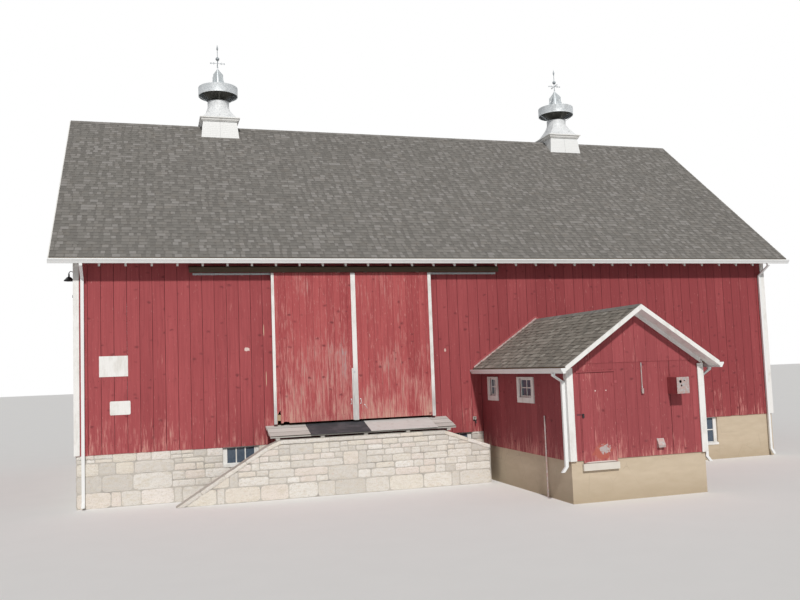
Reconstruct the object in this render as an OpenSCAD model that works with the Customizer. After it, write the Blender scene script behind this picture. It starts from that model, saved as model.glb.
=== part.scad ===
// A timber barn with a gable roof on a stone base, two sliding wagon doors with a
// plank bridge before them, two sheet-metal roof ventilators, and a small gabled
// entrance wing. Millimetres, +Z up, X along the front, Y from the front to the back.
// The modelling frame starts at the barn's front left corner on the ground, and
// placed() moves it so that the origin is under the middle of the whole building.

/* [Barn] */
// Length of the barn along the front, over the boards
barn_len = 20200; // [17000:100:25000]
// Width of the barn from front to back, over the boards
barn_w = 11000; // [9200:100:13500]
// Height of the stone base, from the ground to the foot of the boards
base_h = 1300; // [1050:10:1700]
// Height of the boarded side walls, up to the rafters
wall_h = 4870; // [4600:10:6000]
// Slope of the main roof in degrees
roof_pitch = 40.4; // [34:0.1:46]
// How far the main roof runs out over the side walls
eave_out = 460; // [440:10:600]
// How far the main roof runs out over the gables
gable_out = 550; // [250:10:700]

/* [Boards and timbers] */
// Thickness of the wall boards
siding_t = 25; // [18:1:40]
// Thickness of the rails that the boards are nailed to
rail_t = 50; // [40:1:75]
// Height of those rails
rail_h = 120; // [80:5:180]
// Side of the square posts, plates and sills
post_w = 200; // [150:5:250]
// Width of a rafter
rafter_w = 50; // [38:1:75]
// Depth of a rafter
rafter_h = 160; // [120:5:220]
// Distance from rafter to rafter
rafter_gap = 610; // [500:10:900]
// How far the rafter tails run out over the side walls
tail_out = 420; // [300:10:430]
// Thickness of the roof boards with their shingles
roof_t = 45; // [30:1:70]
// Thickness of the floor planks
plank_t = 50; // [35:1:70]
// Depth of the floor joists
joist_h = 200; // [150:5:250]
// Thickness of the stone base walls
stone_t = 450; // [350:10:600]
// Width of the white corner boards
corner_w = 110; // [80:5:160]
// Thickness of the white trim boards
trim_t = 25; // [18:1:35]
// Depth of the white boards along the gable edges of the roof
rake_h = 150; // [100:5:220]

/* [Wagon doorway] */
// Distance from the left corner to the doorway
doorway_x = 4850; // [4000:10:5500]
// Clear width of the doorway
doorway_w = 4190; // [3500:10:4400]
// Height of the barn floor over the foot of the boards
floor_rise = 450; // [400:10:600]
// Height of the door rail's lower edge over the foot of the boards
track_z = 4330; // [4000:10:4400]
// How far each door leaf laps over its jamb
leaf_lap = 85; // [50:5:120]
// Gap between the two closed leaves
leaf_gap = 10; // [6:1:20]
// Gap between the floor and the leaves
leaf_rise = 50; // [20:5:80]
// Length of the door rail
track_len = 8280; // [7400:10:8400]
// Height of the door rail
track_h = 50; // [40:1:60]
// Thickness of the door rail
track_t = 8; // [6:1:10]
// Distance of the rail's back from the wall boards
track_off = 67; // [60:1:80]
// Radius of the hanger wheels
wheel_r = 42; // [34:1:46]

/* [Plank bridge] */
// How far the bridge reaches past the doorway at each end
bridge_past = 300; // [150:10:400]
// Horizontal run of the bridge
bridge_run = 800; // [600:10:1000]
// Drop of the bridge along its run
bridge_drop = 215; // [150:5:280]
// Number of planks across the bridge
bridge_planks = 4; // [3:1:5]
// Thickness of the bridge's retaining wall
retain_t = 300; // [250:10:400]

/* [Basement windows] */
// Width of a three-light basement window over its frame
cellar_w = 900; // [700:10:1000]
// Height of a three-light basement window over its frame
cellar_h = 530; // [450:10:650]
// Distance from the left corner to the first front window
cellar_x = 3480; // [3300:10:3600]
// Distance from the doorway to the second front window
cellar_gap = 270; // [250:10:350]
// Width of the taller window at the right of the wing
tall_w = 1040; // [800:10:1100]
// Height of the taller window
tall_h = 860; // [700:10:950]
// Distance of the taller window from the right corner
tall_x = 2020; // [1200:10:2200]
// Width of the frame's wood seen from outside
frame_w = 110; // [70:5:140]

/* [Ventilators] */
// Distance of each ventilator from the gable walls
vent_in = 3980; // [2500:10:6000]
// Width of the white base box at its foot
vent_w = 1194; // [1000:2:1400]
// Width of the base box at its top
vent_top_w = 1060; // [900:2:1200]
// Height of the base box over the ridge
vent_base_h = 45; // [30:5:200]
// Width over the cornice
vent_cornice_w = 1254; // [1150:2:1450]
// Height of the cornice
vent_cornice_h = 125; // [80:5:160]
// Width of the square foot of the flared hood
vent_hood_w = 1000; // [800:2:1100]
// Radius of the round neck
vent_neck_r = 342; // [280:1:400]
// Height of the flared hood, up to the round neck
vent_flare_h = 490; // [350:5:600]
// Height of the round neck above the flare
vent_neck_h = 130; // [60:5:180]
// Radius of the wind band
vent_band_r = 627; // [560:1:680]
// Height of the wind band
vent_band_h = 320; // [240:5:380]
// Gap in height between the neck's mouth and the wind band
vent_band_gap = 195; // [120:5:240]

/* [Wing] */
// Distance from the barn's left corner to the wing
wing_x = 10550; // [10450:10:11200]
// Width of the wing
wing_w = 3490; // [3200:10:4000]
// Length of the wing, out from the barn
wing_len = 4960; // [4300:10:6000]
// How far the foot of the wing's boards lies below the barn's
wing_drop = 350; // [250:10:450]
// Height of the wing's side walls, up to the eaves
wing_wall_h = 2165; // [2100:5:2500]
// Slope of the wing's roof in degrees
wing_pitch = 34; // [28:0.5:40]
// How far the wing's roof runs out over its side walls
wing_eave = 220; // [150:10:300]
// How far the wing's roof runs out over its front
wing_rake = 390; // [250:10:500]
// Thickness of the wing's roof
wing_roof_t = 40; // [30:1:60]
// Thickness of the wing's base walls
wing_base_t = 250; // [200:10:300]
// Distance from the wing's left corner to its doorway
wdoor_x = 320; // [250:10:400]
// Width of the wing's doorway
wdoor_w = 856; // [750:2:950]
// Height of the wing's doorway
wdoor_h = 1950; // [1850:10:2000]
// Height of the wing's floor below the foot of its boards
wing_floor_in = 50; // [30:5:100]

/* [Hidden] */

// colours
red = "#A85054";
white = "#F2F2F0";
stone = "#E0D8CC";
parge = "#CDBBA3";
timber = "#9A8468";
grey_wood = "#B9B0A5";
shingle = "#7D7873";
metal = "#D5DADB";
dark = "#46474B";
pane = "#5A6470";

// joints of pieces that only touch
seam = 1;
lap = 25;
wall_t = siding_t + rail_t;

// main roof
tan_p = tan(roof_pitch);
cos_p = cos(roof_pitch);
roof_v = roof_t / cos_p;
rafter_v = rafter_h / cos_p;
wall_top = base_h + wall_h;
ridge_z = wall_top + rafter_v + roof_v + barn_w / 2 * tan_p;
function roof_z(y) = ridge_z - abs(y - barn_w / 2) * tan_p;

// frame
plate_seat = 30;
plate_top = wall_top + wall_t * tan_p + plate_seat;
floor_z = base_h + floor_rise;
doorway_r = doorway_x + doorway_w;
door_mid = doorway_x + doorway_w / 2;
head_z = base_h + track_z - 60;
ridge_board_t = 40;
bays_right = 4;
right_run = barn_len - wall_t - post_w - doorway_r;
post_x = concat(
    [wall_t, (wall_t + doorway_x - post_w) / 2, doorway_x - post_w],
    [for (i = [0:bays_right]) doorway_r + right_run * i / bays_right]);
tie_drop = 250;
rafters = floor((barn_len - 300) / rafter_gap);

// gutters and downspouts
gutter_w = 110;
gutter_h = 115;
gutter_t = 3;
spout_w = 75;
spout_d = 60;

// wing, in the modelling frame
wing_r = wing_x + wing_w;
wing_mid = wing_x + wing_w / 2;
wing_rake_low = 6;
wing_rake_h = 114;
wing_front = -wing_len;
wing_foot = base_h - wing_drop;
wing_floor_z = wing_foot - wing_floor_in;
tan_w = tan(wing_pitch);
wing_roof_v = wing_roof_t / cos(wing_pitch);
wing_eave_z = wing_foot + wing_wall_h;
wing_front_top = wing_eave_z - 10;
wing_ridge_z = wing_eave_z + wing_roof_v + wing_w / 2 * tan_w;
function wing_roof_z(x) = wing_ridge_z - abs(x - wing_mid) * tan_w;
wing_tip = wing_front - wing_rake;
wdoor_l = wing_x + wdoor_x;
wdoor_r = wdoor_l + wdoor_w;
wdoor_top = wing_floor_z + wdoor_h;
wleaf_gap = 6;
wpin_r = 5;
wpin_y = wing_front - 12;
wing_win = [
    [-1030, 410, 470],
    [-3180, 670, 470]
];
wwin_z = base_h + 970;
casing_w = 130;
casing_t = 30;

// whole building, for the origin
back_y = barn_w + eave_out + gutter_w;
mid_y = (wing_tip + back_y) / 2;

module placed() {
    translate([-barn_len / 2, -mid_y, 0]) children();
}

module block(from, to) {
    translate(from) cube(to - from);
}

// an outline in Y and Z, run along X
module along_x(x0, x1) {
    translate([x0, 0, 0]) rotate([90, 0, 90]) linear_extrude(x1 - x0) children();
}

// an outline in X and Z, run along Y
module along_y(y0, y1) {
    translate([0, y1, 0]) rotate([90, 0, 0]) linear_extrude(y1 - y0) children();
}

module to_back() {
    translate([0, barn_w, 0]) mirror([0, 1, 0]) children();
}

module to_right() {
    translate([barn_len, 0, 0]) mirror([1, 0, 0]) children();
}

module wing_to_right() {
    translate([2 * wing_mid, 0, 0]) mirror([1, 0, 0]) children();
}

// Basement windows: [x of the left edge, width, height], all under the wall boards
back_windows = 4;
back_gap = (barn_len - back_windows * cellar_w) / (back_windows + 1);
front_list = [
    [cellar_x, cellar_w, cellar_h],
    [doorway_r + cellar_gap, cellar_w, cellar_h],
    [barn_len - tall_x - tall_w, tall_w, tall_h]
];
back_list = [for (i = [0:back_windows - 1]) [back_gap + i * (cellar_w + back_gap), cellar_w, cellar_h]];
side_at = [barn_w * 0.28, barn_w * 0.72];

module window_hole(w) {
    block([w[0], -seam, base_h - w[2]], [w[0] + w[1], stone_t + siding_t + seam, base_h + seam]);
}

module side_hole(y) {
    block([-seam, y - cellar_w / 2, base_h - cellar_h], [stone_t + siding_t + seam, y + cellar_w / 2, base_h + seam]);
}

module base_front(x0, x1) {
    difference() {
        block([x0, siding_t, 0], [x1, siding_t + stone_t, base_h]);
        for (w = front_list) window_hole(w);
    }
}

module foundation_front_left() {
    color(stone) placed() base_front(siding_t, wing_mid);
}

module foundation_front_right() {
    color(parge) placed() base_front(wing_mid, barn_len - siding_t);
}

module foundation_back() {
    color(stone) placed() to_back() difference() {
        block([siding_t, siding_t, 0], [barn_len - siding_t, siding_t + stone_t, base_h]);
        for (w = back_list) window_hole(w);
    }
}

module base_side() {
    difference() {
        block([siding_t, siding_t + stone_t, 0], [siding_t + stone_t, barn_w - siding_t - stone_t, base_h]);
        for (y = side_at) side_hole(y);
    }
}

module foundation_sides() {
    color(stone) placed() {
        base_side();
        to_right() base_side();
    }
}

// The bridge: a retaining wall that carries the low end of the planks
bridge_l = doorway_x - bridge_past + 10;
bridge_r = doorway_r + bridge_past + 120;
bridge_slope = atan(bridge_drop / bridge_run);
bridge_top = floor_z - 5;
bearer_h = 70;
bearer_w = 100;
bridge_back = plank_t * sin(bridge_slope) + 0.3;
retain_y = -bridge_run + 200;
retain_z = bridge_top - bridge_drop - plank_t - 45;

module retain_outline() {
    polygon([
        [bridge_l - 2260, 0],
        [bridge_l - 1140, retain_z - 755],
        [bridge_l - 110, retain_z - 145],
        [bridge_l + 230, retain_z],
        [bridge_r - 355, retain_z],
        [wing_x - 200, retain_z - 445],
        [wing_x - 200, 0]
    ]);
}

coping_t = 100;
coping_out = 20;

module bridge_wall() {
    color(stone) placed() {
        along_y(retain_y - retain_t, retain_y) retain_outline();
        along_y(retain_y - retain_t - coping_out, retain_y - seam) difference() {
            retain_outline();
            translate([0, -coping_t]) retain_outline();
        }
    }
}

module bridge_deck() {
    pitch_w = bridge_run / cos(bridge_slope) / bridge_planks;
    gap = 8;
    color(grey_wood) placed() {
        difference() {
            translate([bridge_l, -bridge_back, bridge_top]) rotate([bridge_slope, 0, 0]) {
                for (i = [0:bridge_planks - 1])
                    translate([i % 2 * 12, gap - (i + 1) * pitch_w, -plank_t])
                        cube([bridge_r - bridge_l - i % 2 * 20, pitch_w - gap, plank_t]);
                for (i = [0:4])
                    translate([150 + i * (bridge_r - bridge_l - 400) / 4, -bridge_planks * pitch_w + 20, -plank_t - bearer_h])
                        cube([bearer_w, bridge_planks * pitch_w - 60, bearer_h + seam]);
            }
            translate([0, 0, 0.3]) along_y(retain_y - retain_t - 50, retain_y + 0.3) retain_outline();
        }
    }
}

mat_l = bridge_l + 1020;
mat_r = mat_l + 1550;
sheet_r = mat_r + 1800;

module bridge_cover(x0, x1, t, over) {
    translate([0, -bridge_back, bridge_top]) rotate([bridge_slope, 0, 0])
        block([x0, -bridge_run / cos(bridge_slope) - over, 0.3], [x1, -20, 0.3 + t]);
}

module bridge_mat() {
    color(dark) placed() bridge_cover(mat_l, mat_r, 10, 40);
}

module bridge_sheet() {
    color(white) placed() bridge_cover(mat_r + 5, sheet_r, 12, 30);
}

// Barn floor on joists that lie on the sills
joists = 14;

module floor_beams() {
    color(timber) placed() difference() {
        for (i = [0:joists - 1])
            translate([400 + i * (barn_len - 1000) / (joists - 1), wall_t, floor_z - plank_t - joist_h])
                cube([150, barn_w - 2 * wall_t, joist_h]);
        posts_all(0.5);
    }
}

module barn_floor() {
    color(timber) placed() difference() {
        union() {
            block([wall_t, wall_t, floor_z - plank_t], [barn_len - wall_t, barn_w - wall_t, floor_z]);
            block([doorway_x, 0, floor_z - plank_t], [doorway_r, wall_t + seam, floor_z]);
        }
        posts_all(0.5);
    }
}

// Walls: boards with the rails that they are nailed to, as one piece of wall
rail_levels = [0.02, 0.36, 0.68, 0.975];

module rails(x0, x1) {
    for (k = rail_levels)
        block([x0, siding_t - seam, base_h + k * (wall_h - rail_h)],
            [x1, wall_t, base_h + k * (wall_h - rail_h) + rail_h]);
}

module front_wall_left() {
    color(red) placed() {
        block([0, 0, base_h - lap], [doorway_x, siding_t, wall_top]);
        rails(wall_t, doorway_x);
    }
}

module front_wall_right() {
    color(red) placed() {
        block([doorway_r, 0, base_h - lap], [barn_len, siding_t, wall_top]);
        rails(doorway_r, barn_len - wall_t);
    }
}

module front_wall_header() {
    color(red) placed() {
        block([doorway_x, 0, head_z], [doorway_r, siding_t, wall_top]);
        block([doorway_x, siding_t - seam, head_z], [doorway_r, wall_t, head_z + rail_h]);
        block([doorway_x, 0, base_h - lap], [doorway_r, siding_t, floor_z - plank_t]);
    }
}

module back_wall() {
    color(red) placed() to_back() {
        block([0, 0, base_h - lap], [barn_len, siding_t, wall_top]);
        rails(wall_t, barn_len - wall_t);
    }
}

module gable_wall() {
    under = roof_v + 0.2;
    along_x(0, siding_t)
        polygon([
            [siding_t, base_h - lap],
            [barn_w - siding_t, base_h - lap],
            [barn_w - siding_t, roof_z(barn_w - siding_t) - under],
            [barn_w / 2, ridge_z - under],
            [siding_t, roof_z(siding_t) - under]
        ]);
    for (k = rail_levels)
        block([siding_t - seam, wall_t, base_h + k * (wall_h - rail_h)],
            [wall_t, barn_w - wall_t, base_h + k * (wall_h - rail_h) + rail_h]);
    for (k = [0.35, 0.7]) {
        z = wall_top + k * barn_w / 2 * tan_p;
        half = (1 - k) * barn_w / 2 - rafter_h - 60;
        block([siding_t - seam, barn_w / 2 - half, z], [wall_t, barn_w / 2 + half, z + rail_h]);
    }
}

module left_gable_wall() {
    color(red) placed() gable_wall();
}

module right_gable_wall() {
    color(red) placed() to_right() gable_wall();
}

// Timber frame
tie_z = plate_top - post_w - tie_drop - post_w;

module posts_all(extra = 0) {
    sill_top = base_h + post_w;
    for (x = post_x) {
        block([x - extra, wall_t - extra, sill_top], [x + post_w + extra, wall_t + post_w + extra, plate_top - post_w]);
        to_back() block([x - extra, wall_t - extra, sill_top], [x + post_w + extra, wall_t + post_w + extra, plate_top - post_w]);
    }
    for (y = [barn_w / 3, barn_w * 2 / 3]) {
        block([wall_t - extra, y - post_w / 2 - extra, sill_top], [wall_t + post_w + extra, y + post_w / 2 + extra, tie_z]);
        to_right() block([wall_t - extra, y - post_w / 2 - extra, sill_top], [wall_t + post_w + extra, y + post_w / 2 + extra, tie_z]);
    }
}

module frame_posts() {
    color(timber) placed() posts_all();
}

module frame_beams() {
    color(timber) placed() {
        for (k = [0, 1]) {
            x_side = k * (barn_len - 2 * wall_t - post_w);
            y_side = k * (barn_w - 2 * wall_t - post_w);
            translate([0, y_side, 0]) {
                block([wall_t, wall_t, base_h], [barn_len - wall_t, wall_t + post_w, base_h + post_w]);
                block([wall_t, wall_t, plate_top - post_w], [barn_len - wall_t, wall_t + post_w, plate_top]);
            }
            translate([x_side, 0, 0])
                block([wall_t, wall_t + post_w + seam, base_h],
                    [wall_t + post_w, barn_w - wall_t - post_w - seam, base_h + post_w]);
        }
        for (x = post_x)
            block([x, wall_t + post_w, tie_z], [x + post_w, barn_w - wall_t - post_w, tie_z + post_w]);
    }
}

rafter_x = concat([wall_t + rafter_w / 2 + seam], [for (i = [1:rafters]) i * rafter_gap - 10],
    [barn_len - wall_t - rafter_w / 2 - seam]);

// the rafters' tops lie a hair under the roof boards, whatever the slope and width
rafter_top = roof_v + 0.2;

module rafter_run(ridge_side) {
    low = roof_v + rafter_v;
    difference() {
        union() {
            for (x = rafter_x)
                along_x(x - rafter_w / 2, x + rafter_w / 2)
                    polygon([
                        [-tail_out, roof_z(-tail_out) - rafter_top],
                        [-tail_out, roof_z(-tail_out) - low],
                        [ridge_side, roof_z(ridge_side) - low],
                        [ridge_side, roof_z(ridge_side) - rafter_top]
                    ]);
            along_x(wall_t + seam, barn_len - wall_t - seam)
                polygon([
                    [0, roof_z(0) - low + 0.2],
                    [siding_t, roof_z(siding_t) - low],
                    [siding_t, roof_z(siding_t) - rafter_top],
                    [0, roof_z(0) - rafter_top]
                ]);
        }
        block([0, wall_t, plate_top - post_w], [barn_len, wall_t + post_w, plate_top]);
    }
}

module rafters_front() {
    color(timber) placed() {
        rafter_run(barn_w / 2 - ridge_board_t / 2);
        along_x(wall_t + seam, barn_len - wall_t - seam)
            polygon([
                [barn_w / 2 - ridge_board_t / 2 - 0.1, ridge_z - roof_v - rafter_v - 40],
                [barn_w / 2 + ridge_board_t / 2, ridge_z - roof_v - rafter_v - 40],
                [barn_w / 2 + ridge_board_t / 2, roof_z(barn_w / 2 + ridge_board_t / 2) - roof_v - 0.2],
                [barn_w / 2, ridge_z - roof_v - 0.2],
                [barn_w / 2 - ridge_board_t / 2 - 0.1, roof_z(barn_w / 2 - ridge_board_t / 2 - 0.1) - roof_v - 0.2]
            ]);
    }
}

module rafters_back() {
    color(timber) placed() to_back() rafter_run(barn_w / 2 - ridge_board_t / 2);
}

// Roof slabs: boards with shingles, meeting over the ridge
module roof_slab() {
    along_x(-gable_out + trim_t, barn_len + gable_out - trim_t)
        polygon([
            [-eave_out, roof_z(-eave_out) - roof_v],
            [-eave_out, roof_z(-eave_out)],
            [barn_w / 2, ridge_z],
            [barn_w / 2, ridge_z - roof_v]
        ]);
}

module roof_front() {
    color(shingle) placed() roof_slab();
}

module roof_back() {
    color(shingle) placed() to_back() roof_slab();
}

// White trim: boards over the gable edges of the roof, and corner boards
rake_low = 12;

module rake_half(y_end) {
    along_x(-gable_out, -gable_out + trim_t)
        polygon([
            [-eave_out, roof_z(-eave_out) - rake_low],
            [y_end, roof_z(y_end) - rake_low],
            [y_end, roof_z(y_end) - rake_low - rake_h],
            [-eave_out, roof_z(-eave_out) - rake_low - rake_h]
        ]);
}

module corner_pair() {
    z1 = roof_z(-trim_t) - roof_v - rafter_v - 20;
    block([-trim_t, -trim_t, base_h - lap], [corner_w, 0, z1]);
    block([-trim_t, seam, base_h - lap], [0, corner_w, z1]);
}

// two blank sheet plates on the front wall, the lower one with round corners
module wall_plates() {
    block([560, -4, base_h + 1845], [1230, -0.3, base_h + 2350]);
    translate([0, -0.3, 0]) rotate([90, 0, 0]) linear_extrude(4)
        translate([830, base_h + 940]) offset(r = 30, $fn = 32) square([420, 275]);
}

module barn_trim() {
    color(white) placed() wall_plates();
    color(white) placed()
        for (side = [0, 1])
            translate([side * barn_len, 0, 0]) mirror([side, 0, 0]) {
                rake_half(barn_w / 2 - seam);
                to_back() rake_half(barn_w / 2 - seam);
                corner_pair();
                to_back() corner_pair();
            }
}

// A gutter's section: back at y = 0, front at y = -gutter_w, top at z = 0
module gutter_outline() {
    polygon([
        [0, 0],
        [0, -gutter_h],
        [-gutter_w * 0.55, -gutter_h],
        [-gutter_w * 0.68, -gutter_h * 0.72],
        [-gutter_w * 0.86, -gutter_h * 0.45],
        [-gutter_w, -gutter_h * 0.24],
        [-gutter_w, 0]
    ]);
}

module gutter_run(x0, x1) {
    difference() {
        along_x(x0, x1) gutter_outline();
        along_x(x0 + gutter_t, x1 - gutter_t) translate([-gutter_t, gutter_t])
            scale([1 - 2 * gutter_t / gutter_w, 1]) gutter_outline();
    }
}

barn_gutter_z = roof_z(-eave_out) - roof_v + 8;
wing_gutter_z = wing_roof_z(wing_x - wing_eave) - wing_roof_v + 8;

module gutters() {
    top = barn_gutter_z;
    wing_top = wing_gutter_z;
    color(white) placed() {
        translate([0, -eave_out, top]) gutter_run(-gable_out, barn_len + gable_out);
        to_back() translate([0, -eave_out, top]) gutter_run(-gable_out, barn_len + gable_out);
        for (side = [0, 1])
            translate([side * 2 * wing_mid, 0, 0]) mirror([side, 0, 0])
                translate([wing_x - wing_eave, 0, wing_top]) rotate([0, 0, -90])
                    gutter_run(seam, -wing_tip);
    }
}

// A downspout: outlet under the gutter, slanting arm back to the wall, straight pipe, kicked foot
module spout_leg(p, q) {
    hull() {
        translate(p) cube([spout_w, spout_d, 1]);
        translate(q) cube([spout_w, spout_d, 1]);
    }
}

module barn_spout(x, foot) {
    top = barn_gutter_z - gutter_h;
    y0 = -eave_out - gutter_w * 0.55;
    y1 = -trim_t - 0.3 - spout_d;
    translate([x, 0, 0]) {
        spout_leg([0, y0, top - 60], [0, y0, top - 1.2]);
        spout_leg([0, y0, top - 60], [0, y1, top - 330]);
        spout_leg([0, y1, top - 330], [0, y1, foot + 150]);
        spout_leg([0, y1, foot + 150], [0, y1 - 120, foot]);
    }
}

module wing_spout() {
    top = wing_gutter_z - gutter_h;
    x0 = wing_x - wing_eave - gutter_w * 0.9;
    x1 = wing_x - trim_t - 0.3 - spout_w;
    y = wing_front + 60;
    foot = wing_foot - 260;
    spout_leg([x0, y, top - 50], [x0, y, top - 1.2]);
    spout_leg([x0, y, top - 50], [x1, y, top - 190]);
    spout_leg([x1, y, top - 190], [x1, y, foot + 120]);
    spout_leg([x1, y, foot + 120], [x1 - 100, y, foot]);
}

module downspouts() {
    color(white) placed() {
        for (x = [150, barn_len - 150 - spout_w]) barn_spout(x, 60);
        to_back() for (x = [150, barn_len - 150 - spout_w]) barn_spout(x, 60);
        wing_spout();
        wing_to_right() wing_spout();
    }
}

// Door rail on spacers, and the weathered hood over it
rail_x0 = door_mid - track_len / 2;
rail_x1 = door_mid + track_len / 2;
rail_z0 = base_h + track_z;
rail_z1 = rail_z0 + track_h;
rail_y = -track_off;
spacers = 8;

module door_track() {
    color(metal) placed() {
        block([rail_x0, rail_y - track_t, rail_z0], [rail_x1, rail_y, rail_z1]);
        for (i = [0:spacers - 1])
            translate([rail_x0 + 60 + i * (track_len - 160) / (spacers - 1), rail_y - 0.1, rail_z0])
                cube([40, track_off + 0.1, 26]);
    }
}

hood_y = -235;
hood_z0 = rail_z1;

module track_hood() {
    x0 = rail_x0 - 95;
    x1 = rail_x1 + 25;
    face_h = 135;
    top_z = rail_z1 + 2 * wheel_r + 110;
    color(grey_wood) placed() {
        along_x(x0, x1)
            polygon([
                [0, top_z],
                [hood_y - 5, hood_z0 + face_h],
                [hood_y - 5, hood_z0],
                [hood_y + 20, hood_z0],
                [hood_y + 20, hood_z0 + face_h - 28],
                [0, top_z - 28]
            ]);
    }
}

// Door leaves: boards on battens, two hangers with grooved wheels on the rail
leaf_w = (doorway_w + 2 * leaf_lap - leaf_gap) / 2;
leaf_z0 = floor_z + leaf_rise;
leaf_z1 = rail_z1;
leaf_back = -95;
leaf_board = 25;
leaf_batten = 25;
flange_r = wheel_r + 8;

module wheel() {
    tread_z = rail_z1 + 0.3 + wheel_r;
    translate([0, rail_y - track_t / 2, tread_z]) rotate([90, 0, 0]) {
        cylinder(r = wheel_r, h = track_t + 6, center = true, $fn = 48);
        for (side = [-1, 1])
            translate([0, 0, side * (track_t / 2 + 3 + 1.5)])
                cylinder(r = flange_r, h = 4, center = true, $fn = 48);
        cylinder(r = 8, h = 46, center = false, $fn = 24);
    }
}

module hanger(x) {
    translate([x, 0, 0]) {
        wheel();
        block([-30, leaf_back, leaf_z1 - 320], [30, leaf_back + 6, rail_z1 + 2 * wheel_r]);
    }
}

pull_z = base_h + 970;
latch_z = base_h + 1770;

// An upright bow pull on two foot plates
module pull(x) {
    translate([x, leaf_face - 0.3, pull_z]) {
        for (z = [-72, 48]) block([-16, -4, z], [16, 0, z + 24]);
        rotate([0, -90, 0]) rotate([0, 0, 180]) rotate_extrude(angle = 180, $fn = 48)
            translate([60, 0]) circle(r = 6.5, $fn = 20);
    }
}

// The latch's plate with its ring, on the cover strip
module latch() {
    translate([door_mid - 45, leaf_face - strip_gap - strip_t - 0.3, latch_z]) {
        block([-24, -4, -50], [24, 0, 50]);
        translate([0, -10, 0]) rotate([90, 0, 0]) cylinder(r = 14, h = 14, center = true, $fn = 28);
        translate([0, -16, -22]) rotate([80, 0, 0]) rotate_extrude($fn = 40) translate([20, 0]) circle(r = 3.5, $fn = 16);
    }
}

// The hook that hangs from a staple on the right leaf
module hook() {
    translate([door_mid + 215, leaf_face - 0.3, base_h + 870]) {
        block([-14, -4, -14], [14, 0, 14]);
        translate([0, -9, 0]) rotate([90, 0, 0]) cylinder(r = 7, h = 12, center = true, $fn = 20);
        translate([0, -12, 0]) rotate([0, 148, 0]) cylinder(r = 4.5, h = 118, $fn = 16);
    }
}

module left_irons() {
    color(metal) placed() {
        translate([door_mid - leaf_gap / 2 - leaf_w, 0, 0])
            for (x = [350, leaf_w - 350]) hanger(x);
        pull(door_mid - leaf_gap / 2 - 140);
        latch();
    }
}

module right_irons() {
    color(metal) placed() {
        translate([door_mid + leaf_gap / 2, 0, 0])
            for (x = [350, leaf_w - 350]) hanger(x);
        pull(door_mid + leaf_gap / 2 + 100);
        hook();
    }
}

module leaf_panel(w) {
    block([0, leaf_face, leaf_z0], [w, leaf_face + leaf_board, leaf_z1]);
    for (z = [leaf_z0 + 120, (leaf_z0 + leaf_z1) / 2 - 75, leaf_z1 - 320])
        block([20, leaf_face + leaf_board - 0.1, z], [w - 20, leaf_back, z + 150]);
}

leaf_face = leaf_back - leaf_batten - leaf_board;
strip_t = 18;
strip_gap = 6;

module leaf_strip(x, w) {
    block([x, leaf_face - strip_t, leaf_z0 - 20], [x + w, leaf_face + 0.1, leaf_z1 - 10]);
}

// The strip over the joint stands on a packing board of the left leaf, clear of the right leaf
module cover_strip() {
    x = door_mid - leaf_gap / 2;
    color(white) placed() {
        block([x - 80, leaf_face - strip_gap - strip_t, leaf_z0 - 20],
            [x + 75, leaf_face - strip_gap, leaf_z1 - 10]);
        block([x - 80, leaf_face - strip_gap - seam, leaf_z0 - 20], [x, leaf_face, leaf_z1 - 10]);
    }
}

// broken ends of two boards at the left leaf's foot
module broken_ends() {
    along_y(leaf_face - 1, leaf_face + leaf_board - 0.2) {
        translate([130, leaf_z0]) polygon([[0, 60], [38, 84], [62, 236], [84, 238], [78, 118], [104, 76], [60, 48]]);
        translate([150, leaf_z0]) polygon([[0, -5], [14, 34], [58, 26], [130, 42], [142, -5]]);
    }
}

module left_door() {
    color(red) placed() translate([door_mid - leaf_gap / 2 - leaf_w, 0, 0]) {
        difference() {
            leaf_panel(leaf_w);
            broken_ends();
        }
        leaf_strip(0, 90);
    }
}

module right_door() {
    color(red) placed() translate([door_mid + leaf_gap / 2, 0, 0]) {
        leaf_panel(leaf_w);
        leaf_strip(leaf_w - 90, 90);
    }
}

// A basement window frame with upright bars, standing in the hole it was given
sash_y = siding_t + 60;
sash_d = 70;
bar_w = 28;

module cellar_frame(w, bars, rows) {
    inner_w = w[1] - 2 * frame_w;
    z1 = base_h - 60;
    z0 = base_h - w[2] + 90;
    difference() {
        block([w[0] + 0.3, sash_y, base_h - w[2] + 0.3], [w[0] + w[1] - 0.3, sash_y + sash_d, base_h - 0.3]);
        block([w[0] + frame_w, sash_y - seam, z0], [w[0] + frame_w + inner_w, sash_y + sash_d + seam, z1]);
    }
    for (i = [1:bars])
        translate([w[0] + frame_w + inner_w * i / (bars + 1) - bar_w / 2, sash_y + 10, z0 - seam])
            cube([bar_w, sash_d - 20, z1 - z0 + 2 * seam]);
    for (i = [1:1:rows - 1])
        translate([w[0] + frame_w - seam, sash_y + 12, z0 + (z1 - z0) * i / rows - bar_w / 2])
            cube([inner_w + 2 * seam, sash_d - 24, bar_w]);
    along_x(w[0] + 0.3, w[0] + w[1] - 0.3)
        polygon([
            [sash_y + 1, base_h - w[2] + 0.3],
            [sash_y + 1, base_h - w[2] + 85],
            [siding_t - 25, base_h - w[2] + 55],
            [siding_t - 25, base_h - w[2] + 0.3]
        ]);
}

module cellar_pane(w) {
    block([w[0] + frame_w + 0.3, sash_y + 30, base_h - w[2] + 90.3],
        [w[0] + w[1] - frame_w - 0.3, sash_y + 36, base_h - 60.3]);
}

module at_sides() {
    for (y = side_at) {
        translate([0, y + cellar_w / 2, 0]) rotate([0, 0, -90]) children();
        to_right() translate([0, y + cellar_w / 2, 0]) rotate([0, 0, -90]) children();
    }
}

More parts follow.
